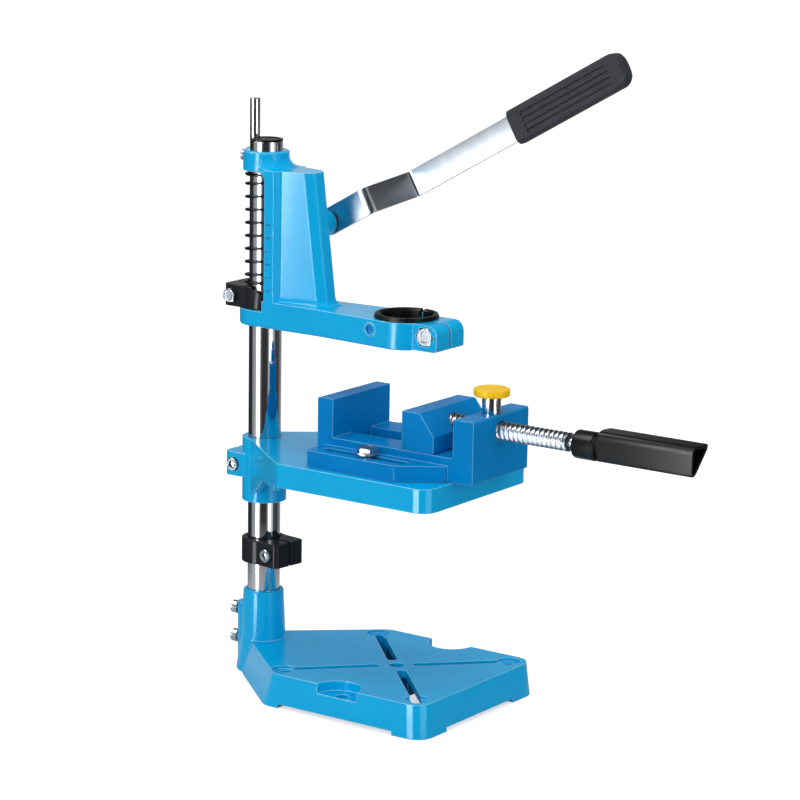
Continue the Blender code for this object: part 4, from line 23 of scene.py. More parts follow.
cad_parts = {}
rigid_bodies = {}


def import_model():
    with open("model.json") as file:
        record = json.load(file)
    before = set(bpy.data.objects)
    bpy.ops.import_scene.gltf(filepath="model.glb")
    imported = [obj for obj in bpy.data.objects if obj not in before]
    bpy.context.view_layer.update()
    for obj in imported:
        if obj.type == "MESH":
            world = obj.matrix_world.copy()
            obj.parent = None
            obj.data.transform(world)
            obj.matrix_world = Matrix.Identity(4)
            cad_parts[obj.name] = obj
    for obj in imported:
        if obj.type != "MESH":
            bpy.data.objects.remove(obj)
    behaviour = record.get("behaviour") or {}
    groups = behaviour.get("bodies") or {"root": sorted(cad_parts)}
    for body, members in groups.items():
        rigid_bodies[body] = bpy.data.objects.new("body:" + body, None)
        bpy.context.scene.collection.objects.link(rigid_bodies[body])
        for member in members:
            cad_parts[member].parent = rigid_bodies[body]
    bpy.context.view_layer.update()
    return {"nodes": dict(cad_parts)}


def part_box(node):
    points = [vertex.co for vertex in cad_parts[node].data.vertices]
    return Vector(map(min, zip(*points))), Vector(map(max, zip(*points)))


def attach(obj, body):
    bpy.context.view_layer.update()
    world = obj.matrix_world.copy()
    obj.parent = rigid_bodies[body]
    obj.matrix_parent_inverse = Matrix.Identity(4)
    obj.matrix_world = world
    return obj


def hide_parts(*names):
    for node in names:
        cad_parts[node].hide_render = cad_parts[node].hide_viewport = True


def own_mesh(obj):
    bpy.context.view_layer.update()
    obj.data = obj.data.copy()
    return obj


LOG = logging.getLogger("drill_stand")
Array = np.ndarray
Point = tuple[float, float, float]
Piece = bpy.types.Object
Socket = bpy.types.NodeSocket
Colour = tuple[float, float, float, float]
Ring = tuple[Array | float, Array | float]
MM = 0.001
FULL_TURN = 2.0 * math.pi
# Points closer than this are one point, and a length is taken as at least the second.
MERGE = 2e-6
TINY = 1e-20
# Edges sharper than these angles in degrees stay sharp: on most pieces, and on screws and nuts.
CREASE = 32.0
SCREW_CREASE = 28.0
# Noise seldom leaves these limits, so a pattern is stretched from them to its full range.
CLOUD_LOW, CLOUD_HIGH = 0.3, 0.7
# Rays that the narrow rolled edges of the small pieces take.
EDGE_SAMPLES = 6


class Way(Enum):
    """The six ways that a round piece can point on the stand."""

    UP = (0.0, 0.0, 1.0)
    DOWN = (0.0, 0.0, -1.0)
    FORE = (0.0, -1.0, 0.0)
    REAR = (0.0, 1.0, 0.0)
    FAR = (1.0, 0.0, 0.0)
    NEAR = (-1.0, 0.0, 0.0)


class Body(Enum):
    """The moving groups of the stand."""

    STAND = "stand"
    STOP = "stop_collar"
    TABLE = "table"
    JAW = "moving_jaw"
    SCREW = "vise_screw"
    RELEASE = "release"
    HEAD = "head"
    ROD = "depth_rod"
    LEVER = "lever"


class Slot(Enum):
    """The record's names for the finishes."""

    STAND_PAINT = "stand_paint"
    VISE_PAINT = "vise_paint"
    CHROME = "chrome"
    ZINC = "zinc"
    SPRING = "spring_steel"
    BRONZE = "bronze"
    COLLAR = "black_paint"
    BLACK = "black_plastic"
    GRIP = "grip_plastic"
    YELLOW = "yellow_plastic"


# Finishes


def linear_colour(code: str, share: float = 1.0) -> Colour:
    """Turn an sRGB hex colour into the linear values that a shader takes.

    Args:
        code: Colour as #RRGGBB.
        share: Factor on all three channels.

    Returns:
        Red, green, blue and an alpha of one.
    """
    raw = np.array([int(code[i : i + 2], 16) for i in (1, 3, 5)]) / 255.0
    low = raw / 12.92
    high = ((raw + 0.055) / 1.055) ** 2.4
    red, green, blue = np.where(raw <= 0.04045, low, high) * share
    return (float(red), float(green), float(blue), 1.0)


def per_mm(size: float) -> float:
    """Scale of a pattern whose features have this size in millimetres."""
    return 1.0 / (size * MM)


class NodeBench:
    """Adds and joins the nodes of one material or world."""

    def __init__(self, tree: bpy.types.NodeTree) -> None:
        """Take the tree that the nodes go in."""
        self.tree = tree

    def wire(self, node: bpy.types.Node, inputs: dict[str, object]) -> None:
        """Set or link a node's inputs.

        Args:
            node: The node.
            inputs: Values or sockets by input name, with underscores for spaces; _2 is input number 2.
        """
        for key, value in inputs.items():
            target = node.inputs[int(key[1:]) if key.startswith("_") else key.replace("_", " ")]
            if isinstance(value, bpy.types.NodeSocket):
                self.tree.links.new(value, target)
            else:
                target.default_value = value

    def add(self, kind: str, out: int | str = 0, settings: dict[str, object] | None = None,
            **inputs: object) -> Socket | None:
        """Add one node with its settings and links.

        Args:
            kind: Blender's name of the node type, without its prefix.
            out: Output to hand back, by number or name.
            settings: The node's own properties.
            inputs: As wire takes them.

        Returns:
            The output, or nothing for an output node.
        """
        node = self.tree.nodes.new("ShaderNode" + kind)
        for key, value in (settings or {}).items():
            setattr(node, key, value)
        self.wire(node, inputs)
        return node.outputs[out] if len(node.outputs) else None

    def drift(self, place: Socket, size_mm: float, detail: float, low: float = 0.0, high: float = 1.0,
              roughness: float = 0.5) -> Socket:
        """Let a value wander between two limits in soft clouds of one size.

        Args:
            place: Coordinates in metres.
            size_mm: Size of the clouds.
            detail: How many finer clouds lie on them.
            low: Least value.
            high: Greatest value.
            roughness: Strength of the finer clouds.

        Returns:
            The value.
        """
        clouds = self.add("TexNoise", Vector=place, Scale=per_mm(size_mm), Detail=detail, Roughness=roughness)
        return self.add("MapRange", Value=clouds, From_Min=CLOUD_LOW, From_Max=CLOUD_HIGH, To_Min=low,
                        To_Max=high)


@dataclass(frozen=True)
class Finish:
    """What the finishes share: one shader, fed by patterns in the piece's own millimetres."""

    name: str

    def material(self) -> bpy.types.Material:
        """Build the finish's material and nodes."""
        material = bpy.data.materials.new(self.name)
        material.use_nodes = True
        bench = NodeBench(material.node_tree)
        place = bench.add("TexCoord", "Object")
        bench.wire(material.node_tree.nodes["Principled BSDF"], self.inputs(bench, place))
        return material

    def inputs(self, bench: NodeBench, place: Socket) -> dict[str, object]:
        """Work out the shader's inputs; each finish does this its own way.

        Args:
            bench: Where the nodes go.
            place: The piece's Object coordinates.

        Returns:
            Values and sockets by the shader's names for its inputs.
        """
        raise NotImplementedError

    def shell(self, bench: NodeBench, share: Socket, tones: tuple[Colour, Colour], relief: Socket,
              depth_mm: float, edge_mm: float) -> dict[str, object]:
        """Mix two tones by one pattern, and press another into edges that are rolled over.

        Args:
            bench: Where the nodes go.
            share: Share of the second tone.
            tones: The two tones.
            relief: The pattern's height, from zero to one.
            depth_mm: Depth of the relief.
            edge_mm: Radius of the rolled edges.

        Returns:
            The shader's base colour and normal.
        """
        tone = bench.add("Mix", 2, {"data_type": "RGBA"}, Factor=share, _6=tones[0], _7=tones[1])
        rolled = bench.add("Bevel", settings={"samples": EDGE_SAMPLES}, Radius=edge_mm * MM)
        normal = bench.add("Bump", Height=relief, Distance=depth_mm * MM, Normal=rolled)
        return {"Base Color": tone, "Normal": normal}


@dataclass(frozen=True)
class EnamelFinish(Finish):
    """Stoving enamel over a sand casting.

    The coat mirrors lamps softly over a deep body colour, a fine orange peel breaks up the mirror,
    and slow waves show the casting beneath. On rolled edges a paler colour is painted in: a painted
    highlight.
    """

    colour: str
    shade: str
    # Paler colour painted on rolled edges: a painted highlight.
    thin: str
    rough: float = 0.3
    shine: float = 0.02
    coat: float = 1.0
    coat_ior: float = 1.32
    coat_rough: float = 0.15
    cloud_mm: float = 42.0
    haze_mm: float = 9.0
    peel_mm: float = 1.6
    peel_depth_mm: float = 0.002
    wave_mm: float = 18.0
    wave_depth_mm: float = 0.018
    edge_mm: float = 1.1
    edge_lean: tuple[float, float] = (0.985, 0.90)
    edge_samples: int = 8
    # Share of the painted edge highlight in the colour.
    edge_share: float = 0.6

    def inputs(self, bench: NodeBench, place: Socket) -> dict[str, object]:
        """Paint a paler colour, a painted highlight, where the rolled edge leans from the face; lay waves
        under the peel.
        """
        rolled = bench.add("Bevel", settings={"samples": self.edge_samples}, Radius=self.edge_mm * MM)
        plain = bench.add("NewGeometry", "Normal")
        # Painted highlight: where the rolled normal leans from the face, the colour turns towards the paler
        # edge colour.
        lean = bench.add("VectorMath", "Value", {"operation": "DOT_PRODUCT"}, _0=rolled, _1=plain)
        edge = bench.add("MapRange", Value=lean, From_Min=self.edge_lean[0], From_Max=self.edge_lean[1],
                         To_Max=self.edge_share)
        body = bench.add("Mix", 2, {"data_type": "RGBA"}, Factor=bench.drift(place, self.cloud_mm, 3.0),
                         _6=linear_colour(self.colour), _7=linear_colour(self.shade))
        body_with_highlight = bench.add("Mix", 2, {"data_type": "RGBA"}, Factor=edge, _6=body, _7=linear_colour(self.thin))
        normal = rolled
        for size_mm, depth_mm in ((self.wave_mm, self.wave_depth_mm), (self.peel_mm, self.peel_depth_mm)):
            height = bench.add("TexNoise", Vector=place, Scale=per_mm(size_mm), Detail=1.0)
            normal = bench.add("Bump", Height=height, Distance=depth_mm * MM, Normal=normal)
        return {
            "Base Color": body_with_highlight, "Specular IOR Level": self.shine, "Normal": normal, "Coat Normal": normal,
            "Roughness": bench.drift(place, self.haze_mm, 3.0, self.rough - 0.03, self.rough + 0.05),
            "Coat Weight": self.coat, "Coat IOR": self.coat_ior, "Coat Roughness": self.coat_rough,
        }


@dataclass(frozen=True)
class ChromeFinish(Finish):
    """Ground and hard-chromed steel: clear dark and light bands with faint grinding marks.

    Real marks are a few hundredths of a millimetre wide. They are drawn coarser, so that they show.
    """

    colour: str = "#DDE0E5"
    shade: float = 0.92
    rough: float = 0.045
    cloud_mm: float = 22.0
    grain_mm: float = 2.2
    grain_depth_mm: float = 0.0008
    grain: Point = (1.0, 1.0, 0.04)
    edge_mm: float = 0.25

    def inputs(self, bench: NodeBench, place: Socket) -> dict[str, object]:
        """Draw the grinding marks out round the column, and let them roughen the mirror a little."""
        drawn = bench.add("Mapping", Vector=place, Scale=tuple(1.0 / part for part in self.grain))
        marks = bench.add("TexNoise", Vector=drawn, Scale=per_mm(self.grain_mm), Detail=3.0, Roughness=0.6)
        rough = bench.add("MapRange", Value=marks, From_Min=CLOUD_LOW, From_Max=CLOUD_HIGH,
                          To_Min=self.rough - 0.02, To_Max=self.rough + 0.04)
        tones = (linear_colour(self.colour), linear_colour(self.colour, self.shade))
        cloud = bench.drift(place, self.cloud_mm, 3.0)
        return {**self.shell(bench, cloud, tones, marks, self.grain_depth_mm, self.edge_mm),
                "Metallic": 1.0, "Roughness": rough}


@dataclass(frozen=True)
class ZincFinish(Finish):
    """Bright zinc plate: grey with a cold tint, softly mirrored and faintly cloudy.

    Its crystals are too fine to show, and its pits are drawn coarser than the real ones.
    """

    colour: str = "#BFC5CC"
    tint: str = "#B0B7C0"
    rough: float = 0.3
    cloud_mm: float = 9.0
    haze_mm: float = 4.0
    pit_mm: float = 0.6
    pit_depth_mm: float = 0.001
    edge_mm: float = 0.2

    def inputs(self, bench: NodeBench, place: Socket) -> dict[str, object]:
        """Let the plate's tint and roughness drift, and pit it."""
        tones = (linear_colour(self.colour), linear_colour(self.tint))
        cloud = bench.drift(place, self.cloud_mm, 3.0)
        pits = bench.add("TexNoise", Vector=place, Scale=per_mm(self.pit_mm))
        return {**self.shell(bench, cloud, tones, pits, self.pit_depth_mm, self.edge_mm), "Metallic": 1.0,
                "Roughness": bench.drift(place, self.haze_mm, 2.0, self.rough - 0.01, self.rough + 0.01)}


@dataclass(frozen=True)
class DarkSteelFinish(Finish):
    """Oiled spring wire: near black, with an oil shine and a few worn grey spots.

    The drawing marks are coarser than the real ones, which are too fine to show.
    """

    colour: str = "#141518"
    worn: str = "#3A3C40"
    wear_mm: float = 1.6
    wear_range: tuple[float, float] = (0.55, 0.8)
    film_mm: float = 0.8
    film_rough: tuple[float, float] = (0.24, 0.38)
    mark_mm: float = 0.5
    mark_depth_mm: float = 0.005
    edge_mm: float = 0.15

    def inputs(self, bench: NodeBench, place: Socket) -> dict[str, object]:
        """Wear the oiled black through to grey where a spotty pattern is high."""
        wear = bench.add("TexNoise", Vector=place, Scale=per_mm(self.wear_mm), Detail=4.0, Roughness=0.65)
        share = bench.add("MapRange", Value=wear, From_Min=self.wear_range[0], From_Max=self.wear_range[1])
        tones = (linear_colour(self.colour), linear_colour(self.worn))
        marks = bench.add("TexNoise", Vector=place, Scale=per_mm(self.mark_mm))
        return {**self.shell(bench, share, tones, marks, self.mark_depth_mm, self.edge_mm), "Metallic": 0.6,
                "Roughness": bench.drift(place, self.film_mm, 3.0, *self.film_rough)}


@dataclass(frozen=True)
class PlasticFinish(Finish):
    """Injection-moulded plastic: even colour, a soft sheen and a fine eroded grain.

    The real grain is about a tenth of a millimetre. It is drawn coarser, so that it shows.
    """

    colour: str
    pale: str
    rough: float
    grain_mm: float
    grain_depth_mm: float
    flow_mm: float = 7.0
    sheen_mm: float = 2.4
    edge_mm: float = 0.4
    shine: float = 0.5

    def inputs(self, bench: NodeBench, place: Socket) -> dict[str, object]:
        """Let the plastic's flow tint it faintly, and grain its face."""
        tones = (linear_colour(self.colour), linear_colour(self.pale))
        flow = bench.drift(place, self.flow_mm, 4.0, roughness=0.6)
        grains = bench.add("TexVoronoi", Vector=place, Scale=per_mm(self.grain_mm))
        return {**self.shell(bench, flow, tones, grains, self.grain_depth_mm, self.edge_mm),
                "Roughness": bench.drift(place, self.sheen_mm, 3.0, self.rough - 0.05, self.rough + 0.07),
                "Specular IOR Level": self.shine}


@dataclass(frozen=True)
class BronzeFinish(Finish):
    """Sintered bronze: warm, dull and open-pored.

    Its pores are about a tenth of a millimetre wide. They are drawn coarser, so that they show.
    """

    colour: str = "#B4874B"
    pore: str = "#7A5A31"
    pore_mm: float = 0.5
    pore_range: tuple[float, float] = (0.1, 0.4)
    pore_depth_mm: float = 0.02
    grit_mm: float = 1.1
    grit_rough: tuple[float, float] = (0.32, 0.5)
    edge_mm: float = 0.2

    def inputs(self, bench: NodeBench, place: Socket) -> dict[str, object]:
        """Darken and sink the pores."""
        cells = bench.add("TexVoronoi", Vector=place, Scale=per_mm(self.pore_mm))
        pores = bench.add("MapRange", Value=cells, From_Min=self.pore_range[0], From_Max=self.pore_range[1])
        tones = (linear_colour(self.pore), linear_colour(self.colour))
        return {**self.shell(bench, pores, tones, pores, self.pore_depth_mm, self.edge_mm), "Metallic": 1.0,
                "Roughness": bench.drift(place, self.grit_mm, 3.0, *self.grit_rough)}


class Shelf:
    """The stand's finishes, each built once, and the darker enamel of the depth scale's marks, which is
    painted shade.
    """

    def __init__(self) -> None:
        """Build every finish of the stand."""
        made = {
            # Each enamel's third colour is a painted highlight on its rolled edges.
            Slot.STAND_PAINT: EnamelFinish("stand_paint", "#00ACE4", "#00A6DF", "#AEE6FA"),
            Slot.VISE_PAINT: EnamelFinish("vise_paint", "#0082C6", "#007ABC", "#86C8EE", coat=0.25),
            Slot.COLLAR: EnamelFinish("black_paint", "#25262A", "#202125", "#3A3C41", rough=0.4, coat=0.4,
                                      edge_share=0.2),
            Slot.CHROME: ChromeFinish("chrome"),
            Slot.ZINC: ZincFinish("zinc"),
            Slot.SPRING: DarkSteelFinish("spring_steel"),
            Slot.BRONZE: BronzeFinish("bronze"),
            Slot.BLACK: PlasticFinish("black_plastic", "#090A0C", "#0E0F11", 0.34, 0.35, 0.001, shine=0.22),
            Slot.GRIP: PlasticFinish("grip_plastic", "#303135", "#393A3E", 0.6, 0.5, 0.02, shine=0.12),
            Slot.YELLOW: PlasticFinish("yellow_plastic", "#F2BE00", "#F5C60A", 0.36, 0.8, 0.0004, shine=0.3),
        }
        self.materials = {slot: finish.material() for slot, finish in made.items()}
        # The scale's marks are painted darker, painted shade for the shading on the raised digits; their edge
        # colour is the same, so they get no painted highlight.
        self.marks = EnamelFinish("stand_paint_marks_painted_shade", "#0079AE", "#0073A6", "#0079AE").material()

    def give(self, piece: Piece, slot: Slot) -> None:
        """Put one finish on a piece."""
        piece.data.materials.clear()
        piece.data.materials.append(self.materials[slot])


# Surfaces


@dataclass(frozen=True)
class Seat:
    """Where a round piece sits: a point on its axis, the way the axis runs, and its turn."""

    origin: Point
    way: Point
    turn: float = 0.0

    def place(self, local: Array) -> Array:
        """Carry local points, z along the axis, into the stand's frame.

        Args:
            local: Points with x, y and z in the last column.

        Returns:
            The same points about this seat.
        """
        axis = np.array(self.way) / np.linalg.norm(self.way)
        aside = np.array((0.0, 0.0, 1.0)) if abs(axis[2]) < 0.9 else np.array((1.0, 0.0, 0.0))
        first = aside - (aside @ axis) * axis
        first /= np.linalg.norm(first)
        second = np.cross(axis, first)
        cos, sin = math.cos(self.turn), math.sin(self.turn)
        across = first * cos + second * sin
        along = second * cos - first * sin
        basis = np.stack((across, along, axis))
        return local @ basis + np.array(self.origin)


def end_seat(node: str, way: Way, back: float = 0.0, turn: float = 0.0) -> tuple[Seat, float]:
    """Find the seat at the end of a round solid that lies along one of the six ways.

    Args:
        node: Name of the CAD node.
        way: Way that the piece points.
        back: How far behind that end the seat lies.
        turn: Turn of the piece about its axis.

    Returns:
        The seat, and the length of the solid behind it.
    """
    low, high = (np.array(corner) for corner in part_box(node))
    direction = np.array(way.value)
    centre = (low + high) / 2
    reach = abs((high - low) @ direction)
    origin = centre + direction * (reach / 2 - back)
    return Seat(tuple(origin.tolist()), way.value, turn), float(reach - back)


def mesh_piece(name: str, points: Array, faces: Sequence[Sequence[int]], crease: float = CREASE) -> Piece:
    """Put points and faces in a mesh, merge its doubles and turn its faces outwards.

    Args:
        name: Name of the piece.
        points: Points in any grid shape, x, y and z in the last column.
        faces: Corner numbers of each face.
        crease: Angle in degrees above which an edge stays sharp.

    Returns:
        The new object at the origin.
    """
    mesh = bpy.data.meshes.new(name)
    mesh.from_pydata(points.reshape(-1, 3).tolist(), [], [list(map(int, face)) for face in faces])
    form = bmesh.new()
    form.from_mesh(mesh)
    bmesh.ops.remove_doubles(form, verts=form.verts, dist=MERGE)
    bmesh.ops.recalc_face_normals(form, faces=form.faces)
    form.to_mesh(mesh)
    form.free()
    mesh.shade_smooth()
    mesh.set_sharp_from_angle(angle=math.radians(crease))
    piece = bpy.data.objects.new(name, mesh)
    bpy.context.scene.collection.objects.link(piece)
    return piece


def grid_faces(rows: int, columns: int, wrap_rows: bool, wrap_columns: bool) -> Array:
    """Corner numbers of the quads that join each grid point to the next row and column."""
    last_row = rows if wrap_rows else rows - 1
    last_column = columns if wrap_columns else columns - 1
    row, column = np.meshgrid(np.arange(last_row), np.arange(last_column), indexing="ij")
    below = (row + 1) % rows
    beside = (column + 1) % columns
    near, far = row * columns, below * columns
    corners = (near + column, near + beside, far + beside, far + column)
    return np.stack(corners, axis=-1).reshape(-1, 4)


def ring_piece(name: str, radii: Array, heights: Array, seat: Seat, closed: bool = False,
               crease: float = CREASE) -> Piece:
    """Join rings round one axis.

    Row i, column j lies at radius radii[i, j], angle j of a full turn and height heights[i, j];
    a row of zero radius closes in a pole.

    Args:
        name: Name of the piece.
        radii: Radius of each point.
        heights: Height of each point along the axis.
        seat: Where the axis stands.
        closed: Whether the last row joins the first, as in a ring or tube.
        crease: Angle above which an edge stays sharp.

    Returns:
        The new object.
    """
    rows, columns = radii.shape
    angle = np.arange(columns) * FULL_TURN / columns
    level = np.broadcast_to(heights, radii.shape)
    local = np.stack((radii * np.cos(angle), radii * np.sin(angle), level), axis=-1)
    return mesh_piece(name, seat.place(local), grid_faces(rows, columns, closed, True), crease)


def turned_piece(name: str, profile: Array, seat: Seat, columns: int = 96, closed: bool = False,
                 crease: float = CREASE) -> Piece:
    """Turn a profile of (radius, height) pairs round the seat's axis."""
    radii = np.repeat(profile[:, :1], columns, axis=1)
    heights = np.repeat(profile[:, 1:], columns, axis=1)
    return ring_piece(name, radii, heights, seat, closed, crease)


def ring_rows(columns: int, rings: Sequence[Ring]) -> tuple[Array, Array]:
    """Stack rings into the rows that ring_piece takes.

    Args:
        columns: Points in each row.
        rings: Radius and height of each ring, as numbers, rows or whole grids.

    Returns:
        Radii and heights.
    """
    full = [np.broadcast_arrays(radius, height, np.ones((1, columns)))[:2] for radius, height in rings]
    return np.concatenate([radius for radius, _ in full]), np.concatenate([height for _, height in full])


def rounded(corners: Sequence[tuple[float, float]], radii: float | Sequence[float], steps: int = 5,
            closed: bool = False) -> Array:
    """Replace each corner of a line by an arc that touches both its sides.

    The arc's centre lies on the corner's bisector at radius over the sine of half its angle.

    Args:
        corners: The corners in order.
        radii: One radius for all, or one for each corner; the ends of an open line keep none.
        steps: Parts in each arc.
        closed: Whether the last corner joins the first.

    Returns:
        Points along the rounded line.
    """
    here = np.array(corners, float)
    radius = np.broadcast_to(np.array(radii, float), len(here)).copy()
    if not closed:
        radius[[0, -1]] = 0.0
    back = np.roll(here, 1, axis=0) - here
    ahead = np.roll(here, -1, axis=0) - here
    room = np.minimum(np.linalg.norm(back, axis=1), np.linalg.norm(ahead, axis=1)) * 0.49
    back /= np.linalg.norm(back, axis=1)[:, None]
    ahead /= np.linalg.norm(ahead, axis=1)[:, None]
    half = np.arccos(np.clip((back * ahead).sum(1), -1.0, 1.0)) / 2
    half = np.clip(half, 1e-3, math.pi / 2 - 1e-6)
    reach = np.minimum(radius / np.tan(half), room)
    radius = reach * np.tan(half)
    middle = back + ahead
    middle /= np.maximum(np.linalg.norm(middle, axis=1), TINY)[:, None]
    centre = here + middle * (radius / np.sin(half))[:, None]
    start = here + back * reach[:, None] - centre
    turn = (math.pi - 2 * half) * np.sign(ahead[:, 0] * back[:, 1] - ahead[:, 1] * back[:, 0])
    share = np.linspace(0.0, 1.0, steps + 1)
    angle = turn[:, None] * share[None, :]
    cos, sin = np.cos(angle), np.sin(angle)
    x = centre[:, :1] + start[:, :1] * cos - start[:, 1:] * sin
    y = centre[:, 1:] + start[:, :1] * sin + start[:, 1:] * cos
    points = np.stack((x, y), axis=-1)
    kept = [points[i] if radius[i] > 0 else here[i][None, :] for i in range(len(here))]
    return np.concatenate(kept)


def hexagon_radius(across_flats: float, columns: int) -> Array:
    """Distance from the centre to a hexagon's side at each column's angle."""
    angle = np.arange(columns) * FULL_TURN / columns
    sixth = FULL_TURN / 6
    return across_flats / 2 / np.cos((angle + sixth / 2) % sixth - sixth / 2)


def thread_rows(top: float, bottom: float, radius: float, pitch: float, depth: float, columns: int,
                crest: float = 0.3) -> tuple[Array, Array]:
    """Radii and heights of a screw thread between two heights.

    The radius at a height and an angle depends on the height over the pitch less the share of
    the turn: a flat crest, straight flanks and a flat root, faded out at both ends.

    Args:
        top: Height where the rows begin.
        bottom: Height where they end.
        radius: Crest radius.
        pitch: Rise in one turn.
        depth: Depth of the thread.
        columns: Points in each row.
        crest: Share of the pitch that the crest takes, under a half.

    Returns:
        Radii and heights, one row for each step of height.
    """
    count = max(int(abs(top - bottom) / pitch * 10), 4)
    height = np.linspace(top, bottom, count)[:, None]
    share = np.arange(columns)[None, :] / columns
    phase = (height / pitch - share) % 1.0
    tooth = np.abs(phase * 2 - 1)
    groove = np.clip((tooth - crest) / (1 - 2 * crest), 0.0, 1.0)
    groove = groove * groove * (3 - 2 * groove)
    ends = np.minimum(np.abs(height - top), np.abs(height - bottom)) / pitch
    fade = np.clip(ends * 2, 0.0, 1.0)
    return radius - depth * groove * fade, np.broadcast_to(height, groove.shape)


def wire_piece(name: str, path: Array, aside: Array, radius: float, sides: int = 14) -> Piece:
    """Carry a circle along a path, square to it, and close both ends with small domes.

    Args:
        name: Name of the piece.
        path: Points of the centre line.
        aside: A direction at each point that isn't along the path.
        radius: Radius of the wire.
        sides: Points round the wire.

    Returns:
        The new object.
    """
    tangent = np.gradient(path, axis=0)
    tangent /= np.linalg.norm(tangent, axis=1)[:, None]
    first = aside - (aside * tangent).sum(1)[:, None] * tangent
    first /= np.linalg.norm(first, axis=1)[:, None]
    second = np.cross(tangent, first)
    last, dome_rings, dome_height = len(path) - 1, 4, 0.3
    lean = np.linspace(0.0, math.pi / 2, dome_rings)
    size = np.concatenate((np.sin(lean), np.ones(last - 1), np.sin(lean)[::-1]))
    rise = np.concatenate((-np.cos(lean), np.zeros(last - 1), np.cos(lean)[::-1])) * radius * dome_height
    index = np.concatenate((np.zeros(dome_rings, int), np.arange(1, last), np.full(dome_rings, last)))
    angle = np.arange(sides)[None, :, None] * FULL_TURN / sides
    spoke = np.cos(angle) * first[index][:, None] + np.sin(angle) * second[index][:, None]
    centre = path[index] + tangent[index] * rise[:, None]
    points = centre[:, None] + spoke * (size * radius)[:, None, None]
    return mesh_piece(name, points, grid_faces(len(index), sides, False, True))


def coil_piece(name: str, turn: Array, height: Array, coil_r: float, centre: Point, wire_r: float,
               sides: int = 14) -> Piece:
    """Wind a wire about an upright axis: turn t lies at t times a full turn, at its own height.

    Args:
        name: Name of the piece.
        turn: Turns wound at each point.
        height: Height of each point.
        coil_r: Radius of the wire's centre line.
        centre: A point on the axis.
        wire_r: Radius of the wire.
        sides: Points round the wire.

    Returns:
        The new object.
    """
    angle = turn * FULL_TURN
    outward = np.stack((np.cos(angle), np.sin(angle), np.zeros_like(angle)), axis=1)
    path = outward * coil_r + np.array(centre)
    path[:, 2] = height
    return wire_piece(name, path, outward, wire_r, sides)


def loop_piece(name: str, rows: Array, crease: float = CREASE) -> Piece:
    """Join closed loops of as many points each; a loop of one repeated point closes in a pole."""
    return mesh_piece(name, rows, grid_faces(rows.shape[0], rows.shape[1], False, True), crease)


def resampled(loop: Array, count: int) -> Array:
    """Spread points evenly along a closed line in a plane."""
    ahead = np.vstack((loop, loop[:1]))
    run = np.concatenate(([0.0], np.cumsum(np.linalg.norm(np.diff(ahead, axis=0), axis=1))))
    where = np.arange(count) * run[-1] / count
    return np.stack([np.interp(where, run, ahead[:, k]) for k in range(2)], axis=1)


def moved_inwards(loop: Array, distance: float) -> Array:
    """Shift each point of a closed line square to the line, towards the inside."""
    along = np.roll(loop, -1, axis=0) - np.roll(loop, 1, axis=0)
    along /= np.linalg.norm(along, axis=1)[:, None]
    inward = np.stack((-along[:, 1], along[:, 0]), axis=1)
    sign = np.sign((inward * -loop).sum())
    return loop + inward * sign * distance


def split_ring(name: str, profile: Array, seat: Seat, slit: float, columns: int = 160) -> Piece:
    """Turn a closed profile round the seat's axis, but for a slit of even width.

    At radius r the sweep starts at the angle whose sine is half the slit over r and ends as far
    from a full turn; the profile closes both ends.

    Args:
        name: Name of the piece.
        profile: Closed line of (radius, height) pairs.
        seat: Where the axis stands, with the slit at its zero angle.
        slit: Width of the slit.
        columns: Stations round the ring.

    Returns:
        The new object.
    """
    start = np.arcsin(slit / 2 / profile[:, :1])
    angle = start + (FULL_TURN - 2 * start) * np.linspace(0.0, 1.0, columns)[None, :]
    local = np.stack((profile[:, :1] * np.cos(angle), profile[:, :1] * np.sin(angle),
                      np.broadcast_to(profile[:, 1:], angle.shape)), axis=-1)
    rows = len(profile)
    faces = grid_faces(rows, columns, True, False).tolist()
    faces.append([row * columns for row in range(rows)])
    faces.append([row * columns + columns - 1 for row in reversed(range(rows))])
    return mesh_piece(name, seat.place(local), faces)


